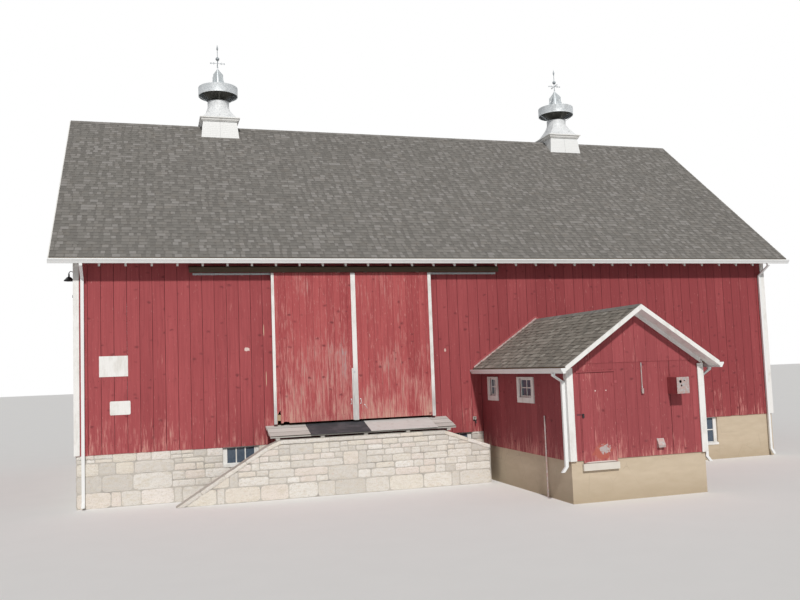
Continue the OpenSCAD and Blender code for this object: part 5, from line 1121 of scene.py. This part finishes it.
# %% A tree for stones
stone_tree, given = new_tree("rubble_stones", [("Seed", "Int"), ("Rough", "Float"), ("Material", "Material")], takes_mesh=True)
t = stone_tree
block = add(t, "GeometryNodeMeshCube", {"Size": (1.0, 1.0, 1.0), "Vertices X": 9, "Vertices Y": 2, "Vertices Z": 6}).outputs[0]
spot = add(t, "ShaderNodeSeparateXYZ", {0: add(t, "GeometryNodeInputPosition").outputs[0]}).outputs
rims = [add(t, "ShaderNodeMath", {0: add(t, "ShaderNodeMath", {0: spot[i]}, operation="ABSOLUTE").outputs[0], 1: 0.49},
            operation="GREATER_THAN").outputs[0] for i in (0, 2)]
rim = add(t, "ShaderNodeMath", {0: rims[0], 1: rims[1]}, operation="MAXIMUM").outputs[0]
ahead = add(t, "ShaderNodeMath", {0: spot[1], 1: 0.0}, operation="LESS_THAN").outputs[0]
recess = add(t, "ShaderNodeMath", {0: rim, 1: ahead}, operation="MULTIPLY").outputs[0]
recess = add(t, "ShaderNodeMath", {0: recess, 1: 0.16}, operation="MULTIPLY").outputs[0]
corner = add(t, "ShaderNodeMath", {0: rims[0], 1: rims[1]}, operation="MULTIPLY").outputs[0]
pulled = [maths(t, "MULTIPLY", maths(t, "MULTIPLY", spot[i], corner), share) for i, share in ((0, -0.05), (2, -0.12))]
block = add(t, "GeometryNodeSetPosition", {"Geometry": block, "Offset": add(
    t, "ShaderNodeCombineXYZ", {0: pulled[0], 1: recess, 2: pulled[1]}).outputs[0]}).outputs[0]
sizes = add(t, "GeometryNodeInputNamedAttribute", {"Name": "size"}, data_type="FLOAT_VECTOR").outputs[0]
turns = add(t, "GeometryNodeInputNamedAttribute", {"Name": "turn"}, data_type="FLOAT_VECTOR").outputs[0]
stones = add(t, "GeometryNodeInstanceOnPoints", {"Points": given["Geometry"], "Instance": block, "Rotation": turns, "Scale": sizes}).outputs[0]
shade = add(t, "FunctionNodeRandomValue", {2: 0.0, 3: 1.0, "Seed": given["Seed"]}, data_type="FLOAT").outputs[1]
stones = add(t, "GeometryNodeStoreNamedAttribute", {"Geometry": stones, "Name": "tone", "Value": shade},
             data_type="FLOAT", domain="INSTANCE").outputs[0]
stones = add(t, "GeometryNodeRealizeInstances", {0: stones}).outputs[0]
bumps = add(t, "ShaderNodeTexNoise", {"Vector": add(t, "GeometryNodeInputPosition").outputs[0], "Scale": 8.0, "Detail": 6.0,
                                          "Roughness": 0.65}).outputs["Color"]
bumps = add(t, "ShaderNodeVectorMath", {0: bumps, 1: (0.5, 0.5, 0.5)}, operation="SUBTRACT").outputs[0]
reach = add(t, "ShaderNodeCombineXYZ", {0: given["Rough"], 1: given["Rough"], 2: given["Rough"]}).outputs[0]
bumps = add(t, "ShaderNodeVectorMath", {0: bumps, 1: reach}, operation="MULTIPLY").outputs[0]
stones = add(t, "GeometryNodeSetPosition", {"Geometry": stones, "Offset": bumps}).outputs[0]
stones = add(t, "GeometryNodeSetMaterial", {"Geometry": stones, "Material": given["Material"]}).outputs[0]
add(t, "NodeGroupOutput", {0: stones})


# %% Where the stones lie
def laid(rng, left, right, top, height):
    """One course of stones (middle, height of middle, width, height) from left to right."""
    stones = []
    while right - left > 0.06:
        width = min(max(height * rng.uniform(1.2, 3.4), 0.20), 0.78)
        if right - left - width < 0.18:
            width = right - left
        joint = rng.uniform(0.012, 0.030)
        stones.append((left + width / 2, top - height / 2, width - joint, height - rng.uniform(0.012, 0.028)))
        left += width
    return stones


def coursed(rng, start, end, top, bands, holes=()):
    """Stones in bands (height, most courses) down from top, around holes (left, right, sill). Each
    band is cut into lengths, and each length holds one or two courses of its own, so that the
    courses break; start and end may depend on the height."""
    left_at = start if callable(start) else lambda z: start
    right_at = end if callable(end) else lambda z: end
    stones = []
    for height, most in bands:
        spans = [(left_at(top - height), right_at(top - height))]
        for left, right, sill in holes:
            if top > sill + 0.02:
                spans = [(a, b) for l, r in spans
                         for a, b in (((l, r),) if right <= l or left >= r else ((l, left), (right, r))) if b - a > 0.06]
        for l, r in spans:
            while r - l > 0.06:
                length = rng.uniform(0.5, 1.5)
                if r - l - length < 0.35:
                    length = r - l
                parts = [height]
                if most > 1 and rng.random() < 0.72:
                    share = rng.uniform(0.36, 0.64)
                    parts = [height * share, height * (1 - share)]
                level = top
                for part in parts:
                    a, b = max(l, left_at(level - part)), min(l + length, right_at(level - part))
                    stones += laid(rng, a, b, level, part)
                    level -= part
                l += length
        top -= height
    return stones


def stone_piece(name, walls, seed, under=None):
    """Stones of several walls: each wall is (stones, origin, turn in degrees) and faces -Y before its turn. They
    are dressed off at the ground, and under a sloped coping where under gives its height from x."""
    mesh = bpy.data.meshes.new(name)
    places, sizes, turns = [], [], []
    for stones, origin, turn, lean in walls:
        way = Matrix.Rotation(math.radians(turn), 3, "Z")
        for stone in stones:
            places.append(Vector(origin) + way @ Vector((stone[0], 0.012, stone[1])))
            sizes.append((stone[2], 0.05, stone[3]))
            turns.append((0.0, -stone[4] if lean else 0.0, math.radians(turn)))
    mesh.from_pydata(places, [], [])
    for label, values in (("size", sizes), ("turn", turns)):
        layer = mesh.attributes.new(label, "FLOAT_VECTOR", "POINT")
        layer.data.foreach_set("vector", [v for row in values for v in row])
    piece = grown(name, stone_tree, {"Seed": seed, "Rough": 0.044, "Material": limestone}, mesh)
    for vertex in piece.data.vertices:
        vertex.co.z = max(vertex.co.z, 0.004)
        if under:
            vertex.co.z = min(vertex.co.z, under(vertex.co.x))
    return settled(piece, "barn", "stone")


rng = random.Random(7)
heights = [(0.22, 2), (0.30, 2), (0.40, 2), (0.37, 1)]
base_front = y_front + 0.025
cellar = [(3.48, 4.38, 0.77), (9.31, 10.21, 0.77)]
front_stones = coursed(rng, 0.03, wing_mid - x_left, 1.29, heights, cellar)
stone_piece("front_stones", [(front_stones, (x_left, base_front, 0), 0, False)], 71)
gap = (20.2 - 4 * 0.9) / 5
back_holes = [(gap + i * (0.9 + gap), gap + i * (0.9 + gap) + 0.9, 0.77) for i in range(4)]
stone_piece("back_stones", [(coursed(rng, 0.03, 20.17, 1.29, heights, back_holes), (x_right, y_back - 0.025, 0), 180, False)], 72)
side_holes = [(11.0 * k - 0.45, 11.0 * k + 0.45, 0.77) for k in (0.28, 0.72)]
stone_piece("side_stones", [
    (coursed(rng, 0.03, 10.97, 1.29, heights, side_holes), (x_left + 0.025, y_back, 0), -90, False),
    (coursed(rng, 0.03, 10.97, 1.29, heights, side_holes), (x_right - 0.025, y_front, 0), 90, False)], 73)

# %% Stones and coping of the bridge's retaining wall
outline = [(2.3, 0.0), (3.42, 0.68), (4.45, 1.29), (4.79, 1.435), (9.105, 1.435), (10.35, 0.99)]


def crossing(points, level):
    """Where a rising line of points reaches a level."""
    for (x0, z0), (x1, z1) in zip(points, points[1:]):
        if z0 <= level <= z1:
            return x0 + (x1 - x0) * (level - z0) / (z1 - z0)
    return points[-1][0]


def left_end(z):
    return crossing(outline[:4], min(z + 0.105, 1.435)) + 0.02


def right_end(z):
    return crossing(outline[:3:-1], z + 0.105) - 0.02 if z + 0.105 > 0.99 else 10.33


wall_stones = coursed(rng, left_end, right_end, 1.325, [(0.26, 2), (0.33, 2), (0.36, 2), (0.375, 1)])
coping = []
for (x0, z0), (x1, z1) in zip(outline, outline[1:]):
    length, angle = math.hypot(x1 - x0, z1 - z0), math.atan2(z1 - z0, x1 - x0)
    count = max(1, round(length / 0.62))
    for i in range(count):
        k = (i + 0.5) / count
        coping.append((x0 + (x1 - x0) * k + 0.05 * math.sin(angle), z0 + (z1 - z0) * k - 0.05 * math.cos(angle),
                       length / count - 0.01, 0.09, angle))


def under_coping(x):
    """Height of the coping's underside at x."""
    along = x - x_left
    for (x0, z0), (x1, z1) in zip(outline, outline[1:]):
        if x0 <= along <= x1:
            return z0 + (z1 - z0) * (along - x0) / (x1 - x0) - 0.10
    return 0.004


stone_piece("bridge_stones", [(wall_stones, (x_left, y_front - 0.9, 0), 0, False)], 74, under_coping)
stone_piece("bridge_coping", [(coping, (x_left, y_front - 0.92, 0), 0, True)], 75)

# %% [markdown]
# ## The ventilators
# The box of each ventilator is built of white painted boards laid level with a small lap,
# whose shade shows as fine dark lines 60 mm apart, under a moulded cornice. The CAD box is right,
# so a merged copy of it stays, cut off under its plain cornice, and the shade under the laps is
# painted into its finish. The cornice is a moulding: one outline carried round a square with mitred corners.

# %% Lapped white boards
lapped_white, tree, shader, where = finish("lapped_white_boards", 0.5, specular=0.4)
parts = add(tree, "ShaderNodeSeparateXYZ", {0: where}).outputs
lap = maths(tree, "FRACT", maths(tree, "MULTIPLY", parts[2], 1 / 0.06))
fine = marks(tree, where, (200, 200, 10), 5.0)
colour = blend(tree, fine, paint("#E8EAEA"), paint("#F4F5F5"))
# Painted shade: a dark line at each lap of the boards.
shadow = add(tree, "ShaderNodeMapRange", {0: lap, 1: 0.0, 2: 0.12, 3: 0.40, 4: 0.0}).outputs[0]
colour = blend(tree, shadow, colour, paint("#9A9D9E"))
for x in vents:
    away = maths(tree, "ABSOLUTE", maths(tree, "SUBTRACT", parts[0], x))
    colour = blend(tree, maths(tree, "MULTIPLY", maths(tree, "LESS_THAN", away, 0.006), 0.5), colour, paint("#8E9192"))
tree.links.new(colour, shader.inputs["Base Color"])
rough_normal(tree, shader, lap, 6.0, 0.6)


# %% The box and its cornice
def mesh_piece(name, made, material, sharp=35):
    """A bmesh as a piece, smooth but for edges over sharp degrees, or flat all over where sharp is 0."""
    bmesh.ops.recalc_face_normals(made, faces=made.faces)
    mesh = bpy.data.meshes.new(name)
    made.to_mesh(mesh)
    made.free()
    if sharp:
        mesh.shade_smooth()
        mesh.set_sharp_from_angle(angle=math.radians(sharp))
    mesh.materials.append(material)
    piece = bpy.data.objects.new(name, mesh)
    scene.collection.objects.link(piece)
    return piece


def mitred(name, outline, x, y, material):
    """A closed outline in (distance from the middle, height) carried round a square about (x, y)."""
    made = bmesh.new()
    rings = [[made.verts.new((x + r * a, y + r * b, z)) for a, b in ((-1, -1), (1, -1), (1, 1), (-1, 1))] for r, z in outline]
    for ring, above in zip(rings, rings[1:] + rings[:1]):
        for i in range(4):
            made.faces.new((ring[i], ring[(i + 1) % 4], above[(i + 1) % 4], above[i]))
    return mesh_piece(name, made, material, 0)


def bent(start, end, bulge, count=5):
    """Points from start to end along a shallow curve, which bulges by a share of its length."""
    (r0, z0), (r1, z1) = start, end
    return [(r0 + (r1 - r0) * k - bulge * (z1 - z0) * math.sin(math.pi * k),
             z0 + (z1 - z0) * k + bulge * (r1 - r0) * math.sin(math.pi * k))
            for k in (i / (count - 1) for i in range(count))]


cornice_z, hood_z = ridge_z + 0.045, ridge_z + 0.17
cornice = ([(0.505, cornice_z), (0.534, cornice_z - 0.006), (0.545, cornice_z)]
           + bent((0.548, cornice_z + 0.012), (0.588, cornice_z + 0.060), -0.16)
           + [(0.588, cornice_z + 0.084), (0.604, cornice_z + 0.088), (0.604, cornice_z + 0.094)]
           + [(0.627, cornice_z + 0.100), (0.627, cornice_z + 0.122), (0.622, cornice_z + 0.131)]
           + [(0.612, cornice_z + 0.126), (0.505, cornice_z + 0.124)])
box_mesh = bmesh.new()
box_mesh.from_mesh(nodes["vent_bases"].data)
bmesh.ops.remove_doubles(box_mesh, verts=box_mesh.verts, dist=0.00002)
bmesh.ops.bisect_plane(box_mesh, geom=box_mesh.verts[:] + box_mesh.edges[:] + box_mesh.faces[:], dist=0.00001,
                       plane_co=(0, 0, cornice_z - 0.001), plane_no=(0, 0, 1), clear_outer=True)
vent_boxes = [mesh_piece("vent_box_boards", box_mesh, lapped_white, 0)]
vent_boxes += [mitred("cornice", cornice, x, y_mid, trim_paint) for x in vents]
settled(joined("vent_boxes", vent_boxes), "barn", "white_paint", "vent_bases")

# %% [markdown]
# Over the box stands tinsmith's work. A hood of bright galvanised sheet runs from a square
# foot up into a round neck. Over the neck a rolled wind band, with a low cap, hangs on four
# straps, an inverted cone inside it keeps the storm out, and a spire of four pierced fins
# stands on the cap. The CAD hood is a little narrower and hollower than the real one, and its
# cap is turned by an eighth of a turn, so these pieces are made again here, on the same axes.
# The hood could be lofted ring by ring, but a tree that bends a flat grid shows its rule: at
# the foot the radius is a square's, at the neck a circle's, and between them a share of both.

# %% A tree for a square-to-round hood
hood_tree, given = new_tree("square_to_round_hood", [
    ("Foot", "Float"), ("Neck", "Float"), ("Flare", "Float"), ("Height", "Float"), ("Around", "Int"), ("Rows", "Int"),
    ("Material", "Material"), ("Place", "Vector")])
t = hood_tree
sheet = add(t, "GeometryNodeMeshGrid", {"Size X": 1.0, "Size Y": 1.0, "Vertices X": given["Around"],
                                        "Vertices Y": given["Rows"]}).outputs[0]
spot = add(t, "ShaderNodeSeparateXYZ", {0: add(t, "GeometryNodeInputPosition").outputs[0]}).outputs
angle = maths(t, "MULTIPLY", maths(t, "ADD", spot[0], 0.5), 2 * math.pi)
level = maths(t, "MULTIPLY", maths(t, "ADD", spot[1], 0.5), given["Height"])
risen = maths(t, "MINIMUM", maths(t, "DIVIDE", level, given["Flare"]), 1.0)
wide = maths(t, "SUBTRACT", maths(t, "MULTIPLY", given["Foot"], 0.5), given["Neck"])
spread = maths(t, "MULTIPLY", wide, maths(t, "POWER", maths(t, "SUBTRACT", 1.0, risen), 1.22))
cosine, sine = maths(t, "COSINE", angle), maths(t, "SINE", angle)
flat = maths(t, "MAXIMUM", maths(t, "ABSOLUTE", cosine), maths(t, "ABSOLUTE", sine))
square = maths(t, "DIVIDE", maths(t, "ADD", given["Neck"], spread), flat)
circle = maths(t, "MULTIPLY_ADD", spread, 0.9, given["Neck"])
share = maths(t, "POWER", risen, 1.25)
radius = maths(t, "MULTIPLY_ADD", maths(t, "SUBTRACT", circle, square), share, square)
sheet = add(t, "GeometryNodeSetPosition", {"Geometry": sheet, "Position": add(t, "ShaderNodeCombineXYZ", {
    0: maths(t, "MULTIPLY", radius, cosine), 1: maths(t, "MULTIPLY", radius, sine), 2: level}).outputs[0]}).outputs[0]
sheet = add(t, "GeometryNodeMergeByDistance", {"Geometry": sheet, "Distance": 0.0002}).outputs[0]
sheet = add(t, "GeometryNodeTransform", {"Geometry": sheet, "Translation": given["Place"]}).outputs[0]
sheet = add(t, "GeometryNodeRealizeInstances", {0: sheet}).outputs[0]
sheet = add(t, "GeometryNodeSetMaterial", {"Geometry": sheet, "Material": given["Material"]}).outputs[0]
add(t, "NodeGroupOutput", {0: sheet})
print("hood tree:", len(t.nodes), "nodes")


# %% The two hoods, in sheet 5 mm thick
def in_sheet(piece, thickness, sharp=24):
    """Gives a surface the thickness of its sheet, inwards, and keeps the result as a plain mesh."""
    wall = piece.modifiers.new("sheet", "SOLIDIFY")
    wall.thickness, wall.offset = thickness, -1.0
    graph = bpy.context.evaluated_depsgraph_get()
    thick = bpy.data.meshes.new_from_object(piece.evaluated_get(graph), preserve_all_data_layers=True, depsgraph=graph)
    piece.modifiers.clear()
    piece.data = thick
    thick.shade_smooth()
    thick.set_sharp_from_angle(angle=math.radians(sharp))
    return piece


neck_r, flare_h, neck_h = 0.342, 0.49, 0.165
hoods = [in_sheet(grown("hood", hood_tree, {
    "Foot": 1.10, "Neck": neck_r, "Flare": flare_h, "Height": flare_h + neck_h, "Around": 97, "Rows": 33,
    "Material": hood_zinc, "Place": (x, y_mid, hood_z - 0.002)}), 0.005) for x in vents]
settled(joined("vent_hood_sheets", hoods), "barn", "galvanised", "vent_hoods")

# %% [markdown]
# The wind band, its cap and the storm cone are round, so each is an outline turned about the
# ventilator's axis; the band's rims are rolled over a wire, a bead 18 mm thick. The fins and
# straps are flat sheet cut to an outline. A fin's edge is a formula: it sways in over its foot,
# out to a shoulder, and then runs up to the tip.

# %% Band, cap and storm cone
def turned(name, outline, material, x, y, around=80):
    """A closed outline in (radius, height) turned about the upright line through (x, y)."""
    made = bmesh.new()
    loop = [made.verts.new((x + r, y, z)) for r, z in outline]
    edges = [made.edges.new((a, b)) for a, b in zip(loop, loop[1:] + loop[:1])]
    bmesh.ops.spin(made, geom=loop + edges, cent=(x, y, 0), axis=(0, 0, 1), angle=2 * math.pi, steps=around)
    bmesh.ops.remove_doubles(made, verts=made.verts, dist=0.0001)
    return mesh_piece(name, made, material)


def bead(r, z, size, start, end, count=7):
    """Points of a rolled rim: an arc about (r, z), from start to end degrees."""
    turns = [math.radians(start + (end - start) * i / (count - 1)) for i in range(count)]
    return [(r + size * math.cos(a), z + size * math.sin(a)) for a in turns]


band_r, band_z, band_top = 0.627, ridge_z + 1.02, ridge_z + 1.305
cap_top = band_top + 0.136
spire_z = band_top + 0.15
spire_h = 0.54
mouth_z = hood_z + flare_h + neck_h
cap_outline = (bead(band_r - 0.006, band_z + 0.009, 0.009, 150, 380)
               + bead(band_r - 0.004, band_top - 0.006, 0.007, -30, 120)
               + bent((band_r - 0.022, band_top + 0.004), (0.09, cap_top), 0.04)
               + [(0.052, cap_top + 0.02), (0.040, cap_top + 0.06), (0.012, spire_z + spire_h), (0, spire_z + spire_h)]
               + [(0, cap_top - 0.02), (0.10, cap_top - 0.016), (band_r - 0.024, band_top - 0.008), (band_r - 0.008, band_top - 0.02)])
cone_outline = [(0, mouth_z + 0.04), (0.13, mouth_z + 0.04), (0.495, band_z + 0.118), (0.495, band_z + 0.13),
                (0.128, mouth_z + 0.05), (0, mouth_z + 0.05)]


# %% Fins and straps cut from flat sheet
def cut_sheet(name, outline, holes, thick, turn, material, x, y):
    """Flat sheet cut to an outline in (radius, height), pierced by round holes (radius, height, size), and
    turned about the upright line through (x, y)."""
    made = bmesh.new()
    loops = [outline] + [bead(r, z, size, 0, 337.5, 16) for r, z, size in holes]
    edges = []
    for loop in loops:
        verts = [made.verts.new((r, -thick / 2, z)) for r, z in loop]
        edges += [made.edges.new((a, b)) for a, b in zip(verts, verts[1:] + verts[:1])]
    bmesh.ops.triangle_fill(made, edges=edges, use_beauty=True)
    grow = bmesh.ops.extrude_face_region(made, geom=made.faces[:])["geom"]
    bmesh.ops.translate(made, verts=[v for v in grow if isinstance(v, bmesh.types.BMVert)], vec=(0, thick, 0))
    way = Matrix.Translation((x, y, 0)) @ Matrix.Rotation(math.radians(turn), 4, "Z")
    bmesh.ops.transform(made, matrix=way, verts=made.verts)
    return mesh_piece(name, made, material)


def fin_reach(k):
    """How far out a fin's edge lies at share k of its height."""
    if k < 0.55:
        return 0.285 - 0.060 * k / 0.55 - 0.026 * math.sin(math.pi * k / 0.55)
    return 0.006 + 0.219 * ((1 - k) / 0.45) ** 1.15


fin_foot = spire_z - 0.055
fin_h = spire_h + 0.04
fin_outline = [(0.004, cap_top - 0.004), (0.16, cap_top - 0.028), (0.285, fin_foot - 0.012)]
fin_outline += [(fin_reach(i / 24), fin_foot + fin_h * i / 24) for i in range(25)]
fin_outline.append((0.002, fin_foot + fin_h))
fin_holes = [(0.168, spire_z + 0.15, 0.017), (0.083, spire_z + 0.10, 0.015)]
strap_outline = [(neck_r - 0.014, mouth_z - 0.10), (neck_r - 0.006, mouth_z - 0.10), (neck_r - 0.006, mouth_z + 0.002),
                 (band_r - 0.010, band_z - 0.004), (band_r - 0.007, band_z + 0.060), (band_r - 0.015, band_z + 0.060),
                 (band_r - 0.020, band_z + 0.004), (neck_r - 0.014, mouth_z + 0.010)]
hanger_outline = [(0.483, band_z + 0.108), (0.491, band_z + 0.108), (0.491, band_top + 0.026), (0.483, band_top + 0.026)]
tops = []
for x in vents:
    tops += [turned("cap", cap_outline, band_zinc, x, y_mid), turned("cone", cone_outline, painted_shade_zinc, x, y_mid)]
    for turn in (0, 90, 180, 270):
        # Painted shade: the front and back straps take the dark zinc for the shade under the band; the side straps stay
        # plain galvanised.
        strap_zinc = galvanised if turn in (0, 180) else painted_shade_zinc
        tops.append(cut_sheet("strap", strap_outline, [], 0.045, turn, strap_zinc, x, y_mid))
        tops.append(cut_sheet("hanger", hanger_outline, [], 0.024, turn, galvanised, x, y_mid))
        tops.append(cut_sheet("fin", fin_outline, fin_holes, 0.004, turn + 45, fin_zinc, x, y_mid))
settled(joined("vent_tops", tops), "barn", "galvanised", "vent_caps")

# %% [markdown]
# The band is riveted along both rims. The rivets are galvanised like the sheet, 16 mm wide,
# and sit in two rings around it.

# %% Rivets around the wind bands
rivet_tree, given = new_tree("rivet_ring", [("Rivets", "Int"), ("Radius", "Float"), ("Material", "Material"), ("Place", "Vector")])
t = rivet_tree
ring = add(t, "GeometryNodeMeshCircle", {"Vertices": given["Rivets"], "Radius": given["Radius"]}).outputs[0]
head = add(t, "GeometryNodeMeshIcoSphere", {"Radius": 0.008, "Subdivisions": 1}).outputs[0]
rivets = add(t, "GeometryNodeInstanceOnPoints", {"Points": ring, "Instance": head}).outputs[0]
rivets = add(t, "GeometryNodeTransform", {"Geometry": rivets, "Translation": given["Place"]}).outputs[0]
rivets = add(t, "GeometryNodeRealizeInstances", {0: rivets}).outputs[0]
rivets = add(t, "GeometryNodeSetMaterial", {"Geometry": rivets, "Material": given["Material"]}).outputs[0]
add(t, "NodeGroupOutput", {0: rivets})
rings = [grown("ring", rivet_tree, {"Rivets": 44, "Radius": band_r - 0.002, "Material": galvanised, "Place": (x, y_mid, z)})
         for x in vents for z in (band_z + 0.03, band_top - 0.03)]
settled(joined("band_rivets", rings), "barn", "galvanised")

# %% [markdown]
# The wing door's fixed hinge leaves were painted red along with the wall, while the rest of
# the wing's fittings are bare galvanised steel. They are one CAD node, so one finish covers
# both, and turns to red paint within 90 mm of the hinge line, in front of the wall.

# %% Galvanised fittings with red hinges
fitting_finish, tree, shader, where = finish("galvanised_fittings_with_red_hinges", 0.55)
parts = add(tree, "ShaderNodeSeparateXYZ", {0: where}).outputs
door_lo, door_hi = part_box("wing_door")
away = maths(tree, "ABSOLUTE", maths(tree, "SUBTRACT", parts[0], door_hi[0]))
hasp = maths(tree, "LESS_THAN", parts[0], door_lo[0] + 0.06)
before = maths(tree, "LESS_THAN", parts[1], door_lo[1] + 0.05)
near = maths(tree, "MULTIPLY", maths(tree, "MAXIMUM", maths(tree, "LESS_THAN", away, 0.09), hasp), before)
crystals = add(tree, "ShaderNodeTexVoronoi", {"Vector": scaled(tree, where, (22, 22, 22)), "Scale": 1.0}).outputs["Color"]
shade = add(tree, "ShaderNodeSeparateXYZ", {0: crystals}).outputs[0]
fine = marks(tree, where, (12, 12, 120), 5.0)
bare_zinc = blend(tree, shade, paint("#A3A5A6"), paint("#C3C4C4"))
bare_zinc = blend(tree, steps(tree, marks(tree, where, (40, 40, 60), 6.0), 0.32, 0.62), bare_zinc, paint("#B89A94"))
red_coat = blend(tree, hasp, blend(tree, fine, paint("#96444A"), paint("#B0555A")), paint("#5E2C38"))
fall = maths(tree, "MULTIPLY", maths(tree, "ABSOLUTE", maths(tree, "SUBTRACT", parts[0], wing_mid)), math.tan(wing_pitch))
over_roof = maths(tree, "SUBTRACT", maths(tree, "ADD", parts[2], fall), wing_ridge + 0.038)
drips = marks(tree, where, (30, 30, 30), 6.0, 0.7)
on_wall = maths(tree, "MULTIPLY", maths(tree, "GREATER_THAN", maths(tree, "MULTIPLY_ADD", drips, 0.06, over_roof), 0.03),
                maths(tree, "GREATER_THAN", parts[1], y_front - 0.08))
coated = blend(tree, near, bare_zinc, red_coat)
coated = blend(tree, on_wall, coated, blend(tree, fine, paint("#964347"), paint("#AC5457")))
tree.links.new(coated, shader.inputs["Base Color"])
near = maths(tree, "MAXIMUM", near, on_wall)
tree.links.new(add(tree, "ShaderNodeMapRange", {0: near, 3: 0.6, 4: 0.0}).outputs[0], shader.inputs["Metallic"])
rough_normal(tree, shader, fine, 1.0, 0.5)

# %% [markdown]
# ## Finishes of the pieces that keep their CAD shape
# Each remaining CAD node gets the finish of its slot in the record. A few have one of their
# own: posts have upright grain, floor planks run from front to back, and so on.

# %% Finishes and floor
finishes = {
    "stone": mortar, "plaster": plaster, "old_planks": grey_planks, "mat": rubber, "sheet": pale_board,
    "timber": level_timber, "red_boards": red_paint, "shingles": shingle_grit, "white_paint": trim_paint,
    "white_metal": enamel, "galvanised": galvanised, "glass": glass, "dark_metal": dark_iron,
}
special = {"frame_posts": upright_timber, "barn_floor": floor_timber, "rafters_front": rafter_wood,
           "rafters_back": rafter_wood, "track_hood": hood_wood_with_painted_shade, "door_track": rail_steel, "window_frames": frame_paint,
           "vent_finials": finial_zinc, "left_irons": hood_zinc, "right_irons": hood_zinc, "bridge_deck": deck_planks, "wing_fittings": fitting_finish}
for name, node in nodes.items():
    for place in node.material_slots:
        place.material = special.get(name) or finishes[place.material.name]

floor_mesh = bpy.data.meshes.new("studio_floor")
floor_mesh.from_pydata([(-150, -150, 0), (150, -150, 0), (150, 150, 0), (-150, 150, 0)], [], [(0, 1, 2, 3)])
studio_floor = bpy.data.objects.new("studio_floor", floor_mesh)
scene.collection.objects.link(studio_floor)
floor_finish, tree, shader, where = finish("pale_studio_floor", 0.95, specular=0.1)
tree.links.new(blend(tree, marks(tree, where, (900, 900, 900), 3.0), paint("#ECECEC"), paint("#F0F0F0")), shader.inputs["Base Color"])
floor_mesh.materials.append(floor_finish)
